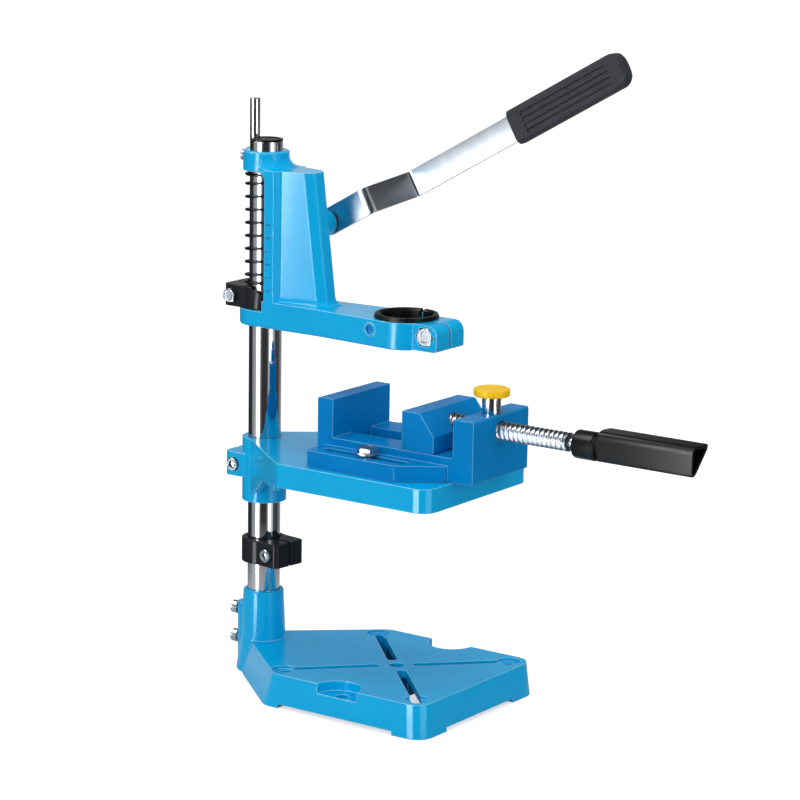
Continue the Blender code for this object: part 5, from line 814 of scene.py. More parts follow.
@dataclass(frozen=True)
class CastingSkin:
    """A merged copy of a solid, shaded as a casting: flat faces stay flat and rounds run smoothly.

    Triangles that lie in one plane form a face of the casting. A corner on a large face takes
    that face's normal, shared with any large face within the fold; a corner on a round takes the
    normals of the large faces that it meets, or else the mean of the narrow ones about it. The
    fold and the plane are cosines, the crease is in degrees and large in square millimetres.
    """

    node: str
    name: str
    large: float = 60.0
    crease: float = 40.0
    fold: float = 0.994
    plane: float = 0.99995
    passes: int = 200

    def build(self, nodes: dict[str, Piece]) -> Piece:
        """Copy the node's mesh, merge it and set its normals.

        Args:
            nodes: The frame's CAD nodes.

        Returns:
            The new object.
        """
        mesh = nodes[self.node].data.copy()
        mesh.name = self.name
        form = bmesh.new()
        form.from_mesh(mesh)
        bmesh.ops.remove_doubles(form, verts=form.verts, dist=MERGE)
        bmesh.ops.dissolve_degenerate(form, dist=MERGE, edges=form.edges)
        bmesh.ops.triangulate(form, faces=form.faces)
        form.to_mesh(mesh)
        form.free()
        mesh.shade_smooth()
        mesh.normals_split_custom_set(self.corner_normals(mesh).tolist())
        piece = bpy.data.objects.new(self.name, mesh)
        bpy.context.scene.collection.objects.link(piece)
        return piece

    def corner_normals(self, mesh: bpy.types.Mesh) -> Array:
        """Work out the normal of every corner.

        Args:
            mesh: A mesh of triangles with merged points.

        Returns:
            One normal for each corner, in the mesh's order.
        """
        count = len(mesh.polygons)
        corner = np.zeros(count * 3, np.int64)
        mesh.loops.foreach_get("vertex_index", corner)
        place = np.zeros(len(mesh.vertices) * 3)
        mesh.vertices.foreach_get("co", place)
        triangle = place.reshape(-1, 3)[corner.reshape(-1, 3)]
        cross = np.cross(triangle[:, 1] - triangle[:, 0], triangle[:, 2] - triangle[:, 0])
        area = np.linalg.norm(cross, axis=1) / 2
        normal = cross / np.maximum(2 * area, TINY)[:, None]
        label = self.plane_labels(corner.reshape(-1, 3), normal)
        total = np.bincount(label, weights=area, minlength=count)[label]
        big = total > self.large * MM * MM
        order = np.argsort(corner, kind="stable")
        degree = np.bincount(corner, minlength=len(mesh.vertices))
        first = np.concatenate(([0], np.cumsum(degree)))[:-1]
        repeat = degree[corner]
        mine = np.repeat(np.arange(count * 3), repeat)
        offset = np.arange(repeat.sum()) - np.repeat(np.cumsum(repeat) - repeat, repeat)
        other = order[first[corner[mine]] + offset] // 3
        own = mine // 3
        agreed = (normal[own] * normal[other]).sum(1)
        close = agreed > math.cos(math.radians(self.crease))
        weight = np.where(big[other], 1e3, 1.0) * area[other] * close
        kin = (label[own] == label[other]) | (big[other] & (agreed > self.fold))
        weight = np.where(big[own], kin * area[other], weight)
        summed = np.stack([np.bincount(mine, weights=weight * normal[other, k], minlength=count * 3)
                           for k in range(3)], axis=1)
        length = np.linalg.norm(summed, axis=1)
        plain = np.repeat(normal, 3, axis=0)
        return np.where(length[:, None] > TINY, summed / np.maximum(length, TINY)[:, None], plain)

    def plane_labels(self, faces: Array, normal: Array) -> Array:
        """Number the planes: triangles that share an edge and a normal share a number.

        Args:
            faces: Corner numbers of each triangle.
            normal: Each triangle's normal.

        Returns:
            The number of each triangle's plane.
        """
        count = len(faces)
        edge = np.sort(np.stack((faces, np.roll(faces, -1, axis=1)), axis=-1).reshape(-1, 2), axis=1)
        owner = np.repeat(np.arange(count), 3)
        key = edge[:, 0] * (faces.max() + 1) + edge[:, 1]
        order = np.argsort(key, kind="stable")
        same = key[order][1:] == key[order][:-1]
        left, right = owner[order][:-1][same], owner[order][1:][same]
        flat = (normal[left] * normal[right]).sum(1) > self.plane
        left, right = left[flat], right[flat]
        label = np.arange(count)
        for _ in range(self.passes):
            low = np.minimum(label[left], label[right])
            before = label.copy()
            np.minimum.at(label, left, low)
            np.minimum.at(label, right, low)
            label = label[label]
            if (label == before).all():
                break
        return label


# Fasteners


def threaded_shank(radius: float, pitch: float, length: float, end: float, columns: int) -> list[Ring]:
    """Rings of a screw from the middle of its tip to where its thread runs out.

    The thread is half as deep as its pitch and starts a little behind the tip.

    Args:
        radius: Crest radius.
        pitch: Rise in one turn.
        length: Distance of the tip below the seat.
        end: Height where the thread ends.
        columns: Points in each row.

    Returns:
        The rings.
    """
    depth = pitch * 0.5
    thread = thread_rows(-length + pitch * 0.6, end, radius, pitch, depth, columns)
    return [(0.0, -length), (radius - depth, -length), thread]


@dataclass(frozen=True)
class SocketScrew:
    """A cap screw with a knurled round head and a hexagon key hole."""

    shank_r: float
    head_r: float
    head_h: float
    key_af: float
    key_depth: float
    pitch: float
    knurls: int = 32
    knurl_share: float = 0.028
    edge_share: float = 0.09

    def build(self, name: str, seat: Seat, length: float) -> Piece:
        """Make the screw: tip, thread, knurled head and key hole as one run of rings.

        Args:
            name: Name of the piece.
            seat: The head's underside, pointing out of the head.
            length: Length of the shank.

        Returns:
            The new object.
        """
        columns = self.knurls * 4
        angle = np.arange(columns)[None, :] * FULL_TURN / columns
        knurl = 1 - self.knurl_share * (0.5 - 0.5 * np.cos(angle * self.knurls))
        key = hexagon_radius(self.key_af, columns)[None, :]
        head, top, deep = self.head_r, self.head_h, self.key_depth
        edge = head * self.edge_share
        rings = threaded_shank(self.shank_r, self.pitch, length, -self.pitch * 0.3, columns)
        rings += [(self.shank_r, 0.0), (head - edge, 0.0), (head, edge * 0.6), (head * knurl, edge * 1.4),
                  (head * knurl, top - edge * 2.2), (head, top - edge * 1.4), (head - edge, top),
                  (key + edge * 0.6, top), (key, top - edge * 0.6), (key, top - deep),
                  (key * 0.6, top - deep * 1.12), (0.0, top - deep * 1.25)]
        return ring_piece(name, *ring_rows(columns, rings), seat, crease=SCREW_CREASE)


@dataclass(frozen=True)
class HexBolt:
    """A hexagon bolt with a chamfered, slightly dished head, and a flange where it has one."""

    shank_r: float
    across_flats: float
    head_h: float
    pitch: float
    flange_r: float = 0.0
    flange_t: float = 0.0
    chamfer: float = math.radians(30.0)
    edge: float = 0.3 * MM
    dish: float = 0.4 * MM
    columns: int = 96

    def build(self, name: str, seat: Seat, length: float) -> Piece:
        """Make the bolt as one run of rings from its tip to the middle of its head.

        Args:
            name: Name of the piece.
            seat: The head's underside, pointing out of the head.
            length: Length of the shank.

        Returns:
            The new object.
        """
        side = hexagon_radius(self.across_flats, self.columns)[None, :]
        circle = self.across_flats / 2 * 0.94
        top, rim, brim = self.head_h, self.flange_r, self.flange_t
        rings = threaded_shank(self.shank_r, self.pitch, length, -self.pitch, self.columns)
        rings += [(self.shank_r, 0.0)]
        if rim > 0:
            rings += [(rim - brim * 0.3, 0.0), (rim, brim * 0.25), (rim, brim * 0.6),
                      (rim - brim * 0.4, brim), (side * 1.03, brim * 1.35)]
        else:
            rings += [(side - self.edge, 0.0)]
        rings += [(side, brim * 1.7 + self.edge), (side, top - (side - circle) * math.tan(self.chamfer)),
                  (circle, top), (circle * 0.82, top), (circle * 0.74, top - self.edge),
                  (0.0, top - self.dish)]
        return ring_piece(name, *ring_rows(self.columns, rings), seat, crease=SCREW_CREASE)


@dataclass(frozen=True)
class HexNut:
    """A nut chamfered on both faces; its bore is countersunk, and plain where the bolt hides it."""

    bore_r: float
    across_flats: float
    height: float
    pitch: float
    chamfer: float = math.radians(30.0)
    columns: int = 96

    def build(self, name: str, seat: Seat) -> Piece:
        """Make the nut about the seat, which lies in its outer face."""
        side = hexagon_radius(self.across_flats, self.columns)[None, :]
        circle = self.across_flats / 2 * 0.95
        cut = (side - circle) * math.tan(self.chamfer)
        low, wide, sink = -self.height, self.bore_r * 1.08, self.pitch * 0.4
        rings = [(wide, low), (circle, low), (side, low + cut), (side, -cut), (circle, 0.0), (wide, 0.0),
                 (self.bore_r, -sink), (self.bore_r, low + sink)]
        return ring_piece(name, *ring_rows(self.columns, rings), seat, True, SCREW_CREASE)


@dataclass(frozen=True)
class FlatScrew:
    """A countersunk screw with a hexagon key hole."""

    shank_r: float
    head_r: float
    head_h: float
    key_af: float
    key_depth: float
    pitch: float
    columns: int = 72

    def build(self, name: str, seat: Seat, length: float) -> Piece:
        """Make the screw as one run of rings from its tip to its key hole.

        Args:
            name: Name of the piece.
            seat: The head's face, pointing out of the head.
            length: Length from that face to the tip.

        Returns:
            The new object.
        """
        key = hexagon_radius(self.key_af, self.columns)[None, :]
        head, deep = self.head_r, self.key_depth
        brim = head * 0.06
        thread_end = -self.head_h - self.pitch * 0.5
        rings = threaded_shank(self.shank_r, self.pitch, length, thread_end, self.columns)
        rings += [(self.shank_r, -self.head_h), (head, -brim * 2), (head, -brim), (head - brim, 0.0),
                  (key + brim, 0.0), (key, -deep), (key * 0.6, -deep * 1.1), (0.0, -deep * 1.2)]
        return ring_piece(name, *ring_rows(self.columns, rings), seat, crease=SCREW_CREASE)


# Sub-assemblies


@dataclass
class SubAssembly:
    """A group of pieces with its finishes and the frame that they sit on."""

    shelf: Shelf
    nodes: dict[str, Piece]

    def settle(self, piece: Piece, body: Body, slot: Slot, *stands_for: str) -> Piece:
        """Finish a piece, let it ride on its body and hide what it stands for.

        Args:
            piece: The new piece.
            body: The body that carries it.
            slot: Its finish.
            stands_for: CAD nodes that it replaces.

        Returns:
            The piece.
        """
        self.shelf.give(piece, slot)
        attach(piece, body.value)
        if stands_for:
            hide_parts(*stands_for)
        LOG.info("%s: %d faces in %s, rides on %s", piece.name, len(piece.data.polygons), slot.value,
                 body.value)
        return piece

    def skin(self, node: str, name: str, body: Body, slot: Slot, large: float = 60.0) -> Piece:
        """Lay a casting's skin over a solid."""
        return self.settle(CastingSkin(node, name, large).build(self.nodes), body, slot, node)

    def fasten(self, screw: SocketScrew | HexBolt, node: str, name: str, body: Body, way: Way,
               turn: float = 0.0) -> Piece:
        """Drive a zinc screw or bolt where its solid lies.

        Args:
            screw: The kind of screw.
            node: The CAD node that it replaces.
            name: Name of the piece.
            body: The body that carries it.
            way: Way that its head points.
            turn: Turn of its head in radians.

        Returns:
            The piece.
        """
        seat, length = end_seat(node, way, screw.head_h, turn)
        return self.settle(screw.build(name, seat, length), body, Slot.ZINC, node)


CAP_SCREW_M6 = SocketScrew(3.0 * MM, 5.0 * MM, 6.0 * MM, 5.0 * MM, 3.0 * MM, 1.0 * MM)
CAP_SCREW_M5 = SocketScrew(2.5 * MM, 4.2 * MM, 5.0 * MM, 4.0 * MM, 2.5 * MM, 0.8 * MM, 28)
BOLT_M8 = HexBolt(4.0 * MM, 13.0 * MM, 5.3 * MM, 1.25 * MM)
NUT_M8 = HexNut(4.1 * MM, 13.0 * MM, 6.5 * MM, 1.25 * MM)


@dataclass
class FootPlate(SubAssembly):
    """The base casting with the two set screws that hold the column."""

    screw: SocketScrew = CAP_SCREW_M6

    def build(self) -> None:
        """Make the base's pieces."""
        self.skin("base_plate", "base_casting", Body.STAND, Slot.STAND_PAINT)
        for level, turn in (("upper", 0.2), ("lower", 0.7)):
            node, name = f"base_set_screw_{level}", f"base_screw_{level}"
            self.fasten(self.screw, node, name, Body.STAND, Way.REAR, turn)


@dataclass
class Column(SubAssembly):
    """The chromed tube and its moulded plug."""

    radius: float = 12.5 * MM
    wall: float = 1.5 * MM
    edge: float = 0.4 * MM
    gap: float = 0.3 * MM
    dish: float = 0.4 * MM
    plug_edge: float = 0.35 * MM

    def build(self) -> None:
        """Make the tube and the plug."""
        low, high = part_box("column_tube")
        axis = Seat((0.0, 0.0, 0.0), Way.UP.value)
        radius, bore = self.radius, self.radius - self.wall
        loop = rounded([(radius, low.z), (radius, high.z), (bore, high.z), (bore, low.z)], self.edge, 3,
                       closed=True)
        self.settle(turned_piece("column", loop, axis, 128, True), Body.STAND, Slot.CHROME, "column_tube")
        brim = high.z + self.gap
        low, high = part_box("column_cap")
        floor = high.z - self.dish
        profile = rounded([(0.0, low.z), (bore * 0.94, low.z), (bore * 0.98, brim), (radius, brim),
                           (radius, high.z), (radius * 0.8, high.z), (radius * 0.72, floor), (0.0, floor)],
                          self.plug_edge, 3)
        self.settle(turned_piece("column_plug", profile, axis), Body.STAND, Slot.BLACK, "column_cap")


@dataclass
class StopCollar(SubAssembly):
    """The black clamp ring under the table and its screw."""

    yaw: float = math.radians(-8.0)
    screw: SocketScrew = CAP_SCREW_M6
    screw_f: float = 19.0 * MM
    head_x: float = 12.55 * MM
    head_turn: float = 0.4
    length: float = 22.0 * MM

    def build(self) -> None:
        """Make the ring and the screw, which lies across it at the ring's yaw."""
        self.skin("stop_collar", "stop_ring", Body.STOP, Slot.COLLAR)
        low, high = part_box("stop_collar_screw")
        turn = Matrix.Rotation(self.yaw, 3, "Z")
        origin = turn @ Vector((-self.head_x, -self.screw_f, (low.z + high.z) / 2))
        seat = Seat(tuple(origin), tuple(turn @ Vector(Way.NEAR.value)), self.head_turn)
        piece = self.screw.build("stop_screw", seat, self.length)
        self.settle(piece, Body.STOP, Slot.ZINC, "stop_collar_screw")


@dataclass
class WorkTable(SubAssembly):
    """The table casting and the screw through its split ears."""

    screw: SocketScrew = CAP_SCREW_M6

    def build(self) -> None:
        """Make the table's pieces."""
        self.skin("table_plate", "table_casting", Body.TABLE, Slot.STAND_PAINT)
        self.fasten(self.screw, "table_clamp_screw", "table_screw", Body.TABLE, Way.NEAR, 0.3)


@dataclass(frozen=True)
class HollowHandle:
    """The vise screw's handle: a round collar, a body of rounded triangle section, an open mouth."""

    top_half: float = 12.5 * MM
    rise: float = 13.5 * MM
    drop: float = 17.5 * MM
    corner_r: float = 4.2 * MM
    wall: float = 2.2 * MM
    lip: float = 0.5 * MM
    collar_r: float = 10.4 * MM
    collar_edge: float = 0.9 * MM
    groove: float = 0.9 * MM
    collar_start: float = 281.0 * MM
    body_start: float = 299.0 * MM
    shoulder: float = 9.0 * MM
    mouth: float = 382.0 * MM
    slant: float = 7.0 * MM
    slant_height: float = 28.0 * MM
    floor: float = 303.0 * MM
    bore_r: float = 3.95 * MM
    bore_end: float = 296.2 * MM
    columns: int = 180

    def build(self, name: str, axis_z: float) -> Piece:
        """Make the handle as one run of loops: bore, collar, body, lip and hollow.

        The body's loops follow the rounded triangle, held back near the collar by a cone whose
        radius grows as fast as the distance from it, and its mouth leans back below.

        Args:
            name: Name of the piece.
            axis_z: Height of the screw's axis.

        Returns:
            The new object.
        """
        corners = [(self.top_half, self.rise), (-self.top_half, self.rise), (0.0, -self.drop)]
        outer = resampled(rounded(corners, self.corner_r, 10, closed=True), self.columns)
        full = np.linalg.norm(outer, axis=1)[:, None]
        unit = outer / full
        lip, inner = self.lip, moved_inwards(outer, self.wall)
        mouth = self.mouth - self.slant * np.clip((self.rise - outer[:, 1:]) / self.slant_height, 0.0, 1.0)
        begin, start, edge = self.collar_start, self.body_start, self.collar_edge
        collar, neck = self.collar_r, self.collar_r - self.groove
        turned = [(0.0, self.bore_end), (self.bore_r, self.bore_end), (self.bore_r, begin),
                  (collar - edge, begin), (collar - edge * 0.3, begin + edge * 0.3), (collar, begin + edge),
                  (collar, start - self.groove * 2), (neck, start - self.groove * 1.6), (neck, start)]
        steps = np.linspace(0.0, self.shoulder, 10)
        rows = [(unit * radius, fore) for radius, fore in turned]
        rows += [(unit * np.minimum(full, collar + step), start + step) for step in steps]
        rows += [(outer, mouth - lip), (moved_inwards(outer, lip * 0.3), mouth - lip * 0.3),
                 (moved_inwards(outer, lip), mouth), (moved_inwards(outer, self.wall - lip), mouth),
                 (inner, mouth - lip), (inner, self.floor + lip * 2),
                 (moved_inwards(outer, self.wall + lip * 2), self.floor), (unit * 0.0, self.floor)]
        fore = np.stack([np.broadcast_to(fore, (self.columns, 1)) for _, fore in rows])
        loops = np.stack([loop for loop, _ in rows])
        return loop_piece(name, np.concatenate((loops[..., :1], -fore, loops[..., 1:] + axis_z), axis=-1))


@dataclass
class DrillVise(SubAssembly):
    """The vise: body, flange bolts, jaw, threaded screw, hollow handle and quick release."""

    bolt: HexBolt = HexBolt(4.0 * MM, 13.0 * MM, 5.3 * MM, 1.25 * MM, 8.5 * MM, 1.5 * MM)
    nut: HexNut = NUT_M8
    keeper: FlatScrew = FlatScrew(2.0 * MM, 3.8 * MM, 1.6 * MM, 2.5 * MM, 1.2 * MM, 0.7 * MM)
    handle: HollowHandle = HollowHandle()
    screw_r: float = 7.0 * MM
    screw_pitch: float = 4.0 * MM
    screw_depth: float = 1.2 * MM
    screw_crest: float = 0.28
    screw_crease: float = 40.0
    screw_chamfer: float = 0.8 * MM
    neck_chamfer: float = 0.5 * MM
    columns: int = 72
    journal_r: float = 5.0 * MM
    journal_length: float = 9.5 * MM
    thread_end_f: float = 275.0 * MM
    neck_r: float = 3.65 * MM
    screw_z: float = 219.0 * MM
    sleeve_wall: float = 2.0 * MM
    sleeve_rim: float = 0.8 * MM
    knob_edge: float = 1.2 * MM
    knob_dish: float = 0.4 * MM
    fine_edge: float = 0.2 * MM
    soft_edge: float = 0.3 * MM
    stem_r: float = 2.5 * MM
    foot_h: float = 15.5 * MM
    saddle_r: float = 7.3 * MM
    coil_wire_r: float = 0.4 * MM
    coil_turns: int = 3
    points_per_turn: int = 32
    release_stroke: float = 3.5 * MM

    def build(self) -> None:
        """Make the vise's pieces."""
        self.skin("vise_body", "vise_casting", Body.TABLE, Slot.VISE_PAINT)
        self.skin("moving_jaw", "jaw_casting", Body.JAW, Slot.VISE_PAINT)
        self.skin("jaw_keeper_plate", "jaw_keeper", Body.JAW, Slot.ZINC, 20.0)
        for side in ("near", "far"):
            self.fasten(self.bolt, f"vise_bolt_{side}", f"flange_bolt_{side}", Body.TABLE, Way.UP, 0.35)
            seat, _ = end_seat(f"vise_nut_{side}", Way.UP, 0.0, 0.1)
            self.settle(self.nut.build(f"flange_nut_{side}", seat), Body.TABLE, Slot.ZINC, f"vise_nut_{side}")
        for end in ("front", "rear"):
            seat, length = end_seat(f"keeper_screw_{end}", Way.DOWN)
            piece = self.keeper.build(f"jaw_screw_{end}", seat, length)
            self.settle(piece, Body.JAW, Slot.ZINC, f"keeper_screw_{end}")
        self.settle(self.build_screw(), Body.SCREW, Slot.ZINC, "vise_screw")
        self.settle(self.handle.build("screw_handle", self.screw_z), Body.SCREW, Slot.BLACK, "vise_handle")
        self.build_release()

    def build_screw(self) -> Piece:
        """Make the long screw: journal, coarse thread and the neck that enters the handle."""
        low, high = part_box("vise_screw")
        rear, front, end = -high.y, -low.y, self.thread_end_f
        start, cut = rear + self.journal_length, self.screw_chamfer
        thread = thread_rows(start + cut, end - cut, self.screw_r, self.screw_pitch, self.screw_depth,
                             self.columns, self.screw_crest)
        core = self.screw_r - self.screw_depth
        rings = [(0.0, rear), (self.journal_r - cut, rear), (self.journal_r, rear + cut),
                 (self.journal_r, start), (core, start), thread, (core, end), (self.neck_r, end),
                 (self.neck_r, front - self.neck_chamfer), (self.neck_r - self.neck_chamfer, front),
                 (0.0, front)]
        seat = Seat((0.0, 0.0, self.screw_z), Way.FORE.value)
        return ring_piece("vise_spindle", *ring_rows(self.columns, rings), seat, crease=self.screw_crease)

    def build_release(self) -> None:
        """Make the sleeve, the saddled plunger, its coil and the yellow knob on one upright axis."""
        low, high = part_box("release_sleeve")
        top, radius = high.z, (high.x - low.x) / 2
        axis = Seat(((high.x + low.x) / 2, (high.y + low.y) / 2, 0.0), Way.UP.value)
        bore, roof, hole = radius - self.sleeve_wall, top - self.sleeve_wall, self.stem_r * 1.1
        fine, soft = self.fine_edge, self.soft_edge
        corners = [(radius, low.z), (radius, top), (hole, top), (hole, roof), (bore, roof), (bore, low.z)]
        loop = rounded(corners, [fine, self.sleeve_rim, fine, fine, soft, fine], 4, closed=True)
        sleeve = turned_piece("release_tube", loop, axis, 96, True)
        self.settle(sleeve, Body.TABLE, Slot.CHROME, "release_sleeve")
        low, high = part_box("release_knob")
        edge, rim, dish = self.knob_edge, (high.x - low.x) / 2, high.z - self.knob_dish
        corners = [(0.0, low.z), (rim, low.z), (rim, high.z), (rim * 0.62, high.z), (rim * 0.58, dish),
                   (0.0, dish)]
        profile = rounded(corners, [0.0, edge, edge, soft, soft, 0.0], 5)
        self.settle(turned_piece("release_button", profile, axis), Body.RELEASE, Slot.YELLOW, "release_knob")
        self.settle(self.build_plunger(axis), Body.RELEASE, Slot.ZINC, "release_plunger")
        low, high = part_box("release_spring")
        wire = self.coil_wire_r
        share = np.linspace(0.0, 1.0, self.coil_turns * self.points_per_turn + 1)
        height = low.z + wire + share * (high.z - low.z - 2 * wire)
        coil = coil_piece("release_coil", share * self.coil_turns, height, (high.x - low.x) / 2 - wire,
                          axis.origin, wire, 10)
        self.settle(coil, Body.TABLE, Slot.SPRING, "release_spring")
        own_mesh(coil)

    def build_plunger(self, axis: Seat) -> Piece:
        """Make the plunger; its foot's end lies on a cylinder about the vise screw.

        Args:
            axis: The release's upright axis.

        Returns:
            The new object.
        """
        low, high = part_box("release_plunger")
        foot = (high.x - low.x) / 2
        shoulder = self.screw_z + self.foot_h
        angle = np.arange(self.columns)[None, :] * FULL_TURN / self.columns
        sole = np.linspace(0.0, foot, 8)[:, None]
        saddle = self.screw_z + np.sqrt(self.saddle_r ** 2 - (sole * np.cos(angle)) ** 2)
        rings = [(sole, saddle), (foot, shoulder), (self.stem_r, shoulder), (self.stem_r, high.z),
                 (0.0, high.z)]
        return ring_piece("release_pin", *ring_rows(self.columns, rings), axis)


@dataclass
class FeedHead(SubAssembly):
    """The drill head: casting, depth scale, nose clamp, reducing ring, depth rod and shaft bush."""

    bolt: HexBolt = BOLT_M8
    nut: HexNut = NUT_M8
    rod_edge: float = 0.6 * MM
    rod_screw: SocketScrew = CAP_SCREW_M5
    ring_body_r: float = 21.6 * MM
    ring_bore_r: float = 19.2 * MM
    ring_flange_r: float = 24.0 * MM
    ring_step: float = 0.6 * MM
    ring_mouth: float = 1.6 * MM
    ring_flange_t: float = 2.9 * MM
    ring_slit: float = 3.0 * MM
    ring_edge: float = 0.25 * MM
    bush_bore_r: float = 6.3 * MM
    bush_r: float = 7.8 * MM
    bush_flange_t: float = 0.9 * MM
    bush_edge: float = 0.2 * MM
    scale_x: float = -19.4 * MM
    scale_y: float = -17.4 * MM
    scale_low_z: float = 300.5 * MM
    scale_step: float = 10.0 * MM
    scale_count: int = 6
    digit_size: float = 4.4 * MM
    raised: float = 0.22 * MM
    tick_w: float = 0.35 * MM
    tick_drop: float = 0.17 * MM
    tick_gap: float = 2.1 * MM
    tick_lengths: tuple[float, float] = (1.6 * MM, 1.0 * MM)

    def build(self) -> None:
        """Make the head's pieces."""
        self.skin("head_casting", "feed_head_casting", Body.HEAD, Slot.STAND_PAINT)
        scale = self.build_scale()
        self.settle(scale, Body.HEAD, Slot.STAND_PAINT)
        # The marks take the darker enamel: painted shade on the raised digits.
        scale.data.materials[0] = self.shelf.marks
        self.settle(self.build_ring(), Body.HEAD, Slot.BLACK, "adapter_ring")
        self.fasten(self.bolt, "nose_clamp_bolt", "nose_bolt", Body.HEAD, Way.FAR, 0.2)
        seat, _ = end_seat("nose_clamp_nut", Way.NEAR, 0.0, 0.2)
        self.settle(self.nut.build("nose_nut", seat), Body.HEAD, Slot.ZINC, "nose_clamp_nut")
        self.fasten(self.rod_screw, "depth_rod_screw", "rod_screw", Body.HEAD, Way.REAR, 0.1)
        seat, length = end_seat("shaft_bush", Way.FAR)
        low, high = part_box("shaft_bush")
        bore, body, rim, flange = self.bush_bore_r, self.bush_r, (high.z - low.z) / 2, -self.bush_flange_t
        corners = [(bore, -length), (body, -length), (body, flange), (rim, flange), (rim, 0.0), (bore, 0.0)]
        loop = rounded(corners, self.bush_edge, 3, closed=True)
        self.settle(turned_piece("feed_bush", loop, seat, 96, True), Body.HEAD, Slot.BRONZE, "shaft_bush")
        seat, length = end_seat("depth_rod", Way.UP)
        low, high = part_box("depth_rod")
        radius = (high.x - low.x) / 2
        profile = rounded([(0.0, -length), (radius, -length), (radius, 0.0), (0.0, 0.0)], self.rod_edge, 4)
        self.settle(turned_piece("depth_bar", profile, seat, 64), Body.ROD, Slot.CHROME, "depth_rod")

    def build_ring(self) -> Piece:
        """Turn the reducing ring, with its stepped flange and cone mouth, split on the far side."""
        low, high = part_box("adapter_ring")
        top, under = high.z, high.z - self.ring_flange_t
        step = under + self.ring_flange_t / 2
        body, bore, rim, mouth = self.ring_body_r, self.ring_bore_r, self.ring_flange_r, self.ring_mouth
        loop = rounded([(body, low.z), (body, under), (rim, under), (rim, step), (rim - self.ring_step, step),
                        (rim - self.ring_step, top), (bore + mouth, top), (bore, top - mouth), (bore, low.z)],
                       self.ring_edge, 3, closed=True)
        seat = Seat(((low.x + high.x) / 2, (low.y + high.y) / 2, 0.0), Way.UP.value)
        return split_ring("reducing_ring", loop, seat, self.ring_slit)

    def build_scale(self) -> Piece:
        """Raise a tick each five millimetres and a digit each ten, turned to be read upwards."""
        points, faces, count = [], [], 0
        block = np.array([(x, y, z) for x in (0, 1) for y in (0, 1) for z in (0, 1)], float)
        sides = np.array([(0, 1, 3, 2), (4, 6, 7, 5), (0, 4, 5, 1), (2, 3, 7, 6), (0, 2, 6, 4), (1, 5, 7, 3)])
        for number in range(self.scale_count * 2 - 1):
            size = np.array((self.raised * 2, self.tick_lengths[number % 2], self.tick_w))
            foot = self.scale_low_z + number * self.scale_step / 2 - self.tick_drop
            points.append(block * size + np.array((-self.raised, self.scale_y + self.tick_gap, foot)))
            faces += (sides + count).tolist()
            count += len(block)
        for number in range(self.scale_count):
            text = bpy.data.curves.new("digit", "FONT")
            text.body = str(number)
            text.size = self.digit_size
            text.align_x, text.align_y = "CENTER", "CENTER"
            text.extrude = self.raised
            text.resolution_u = 3
            holder = bpy.data.objects.new("digit", text)
            mesh = bpy.data.meshes.new_from_object(holder)
            flat = np.zeros(len(mesh.vertices) * 3)
            mesh.vertices.foreach_get("co", flat)
            across, up, out = flat.reshape(-1, 3).T
            foot = self.scale_low_z + number * self.scale_step
            points.append(np.stack((-out, self.scale_y + up, foot + across), axis=1))
            faces += [[index + count for index in face.vertices] for face in mesh.polygons]
            count += len(across)
            bpy.data.objects.remove(holder)
            bpy.data.meshes.remove(mesh)
        placed = np.concatenate(points) + np.array((self.scale_x, 0.0, 0.0))
        return mesh_piece("depth_scale", placed, faces)


@dataclass
class LiftSpring(SubAssembly):
    """The black collar on the column, the rack that it holds and the coil that lifts the head."""

    wire_r: float = 1.1 * MM
    coil_r: float = 14.9 * MM
    turns: int = 10
    stroke: float = 38.0 * MM
    closed_turns: int = 2
    closed_pitch: float = 2.8 * MM
    points_per_turn: int = 40
    bolt: HexBolt = HexBolt(3.0 * MM, 10.0 * MM, 4.0 * MM, 1.0 * MM)
    rack_screw: SocketScrew = SocketScrew(2.0 * MM, 3.5 * MM, 2.0 * MM, 2.5 * MM, 1.2 * MM, 0.7 * MM, 24)

    def build(self) -> None:
        """Make the collar, its bolt, the rack and the spring."""
        self.skin("head_collar", "spring_collar", Body.STAND, Slot.COLLAR)
        self.fasten(self.bolt, "head_collar_bolt", "collar_bolt", Body.STAND, Way.NEAR, 0.3)
        self.skin("rack_bar", "feed_rack", Body.STAND, Slot.ZINC, 12.0)
        self.fasten(self.rack_screw, "rack_screw", "feed_rack_screw", Body.STAND, Way.FORE)
        coil = self.settle(self.build_coil(), Body.STAND, Slot.SPRING, "return_spring")
        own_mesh(coil)

    def build_coil(self) -> Piece:
        """Wind the wire: the height runs slowly in the closed end turns and evenly between them."""
        low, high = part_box("return_spring")
        bottom, top = low.z + self.wire_r, high.z - self.wire_r
        turn = np.linspace(0.0, self.turns, self.turns * self.points_per_turn + 1)
        active = self.turns - self.closed_turns
        ease = np.clip(turn - self.closed_turns / 2, 0.0, active)
        rise = top - bottom - self.closed_turns * self.closed_pitch
        height = bottom + (turn - ease) * self.closed_pitch + rise * ease / active
        return coil_piece("lift_spring", turn, height, self.coil_r, (0.0, 0.0, 0.0), self.wire_r)


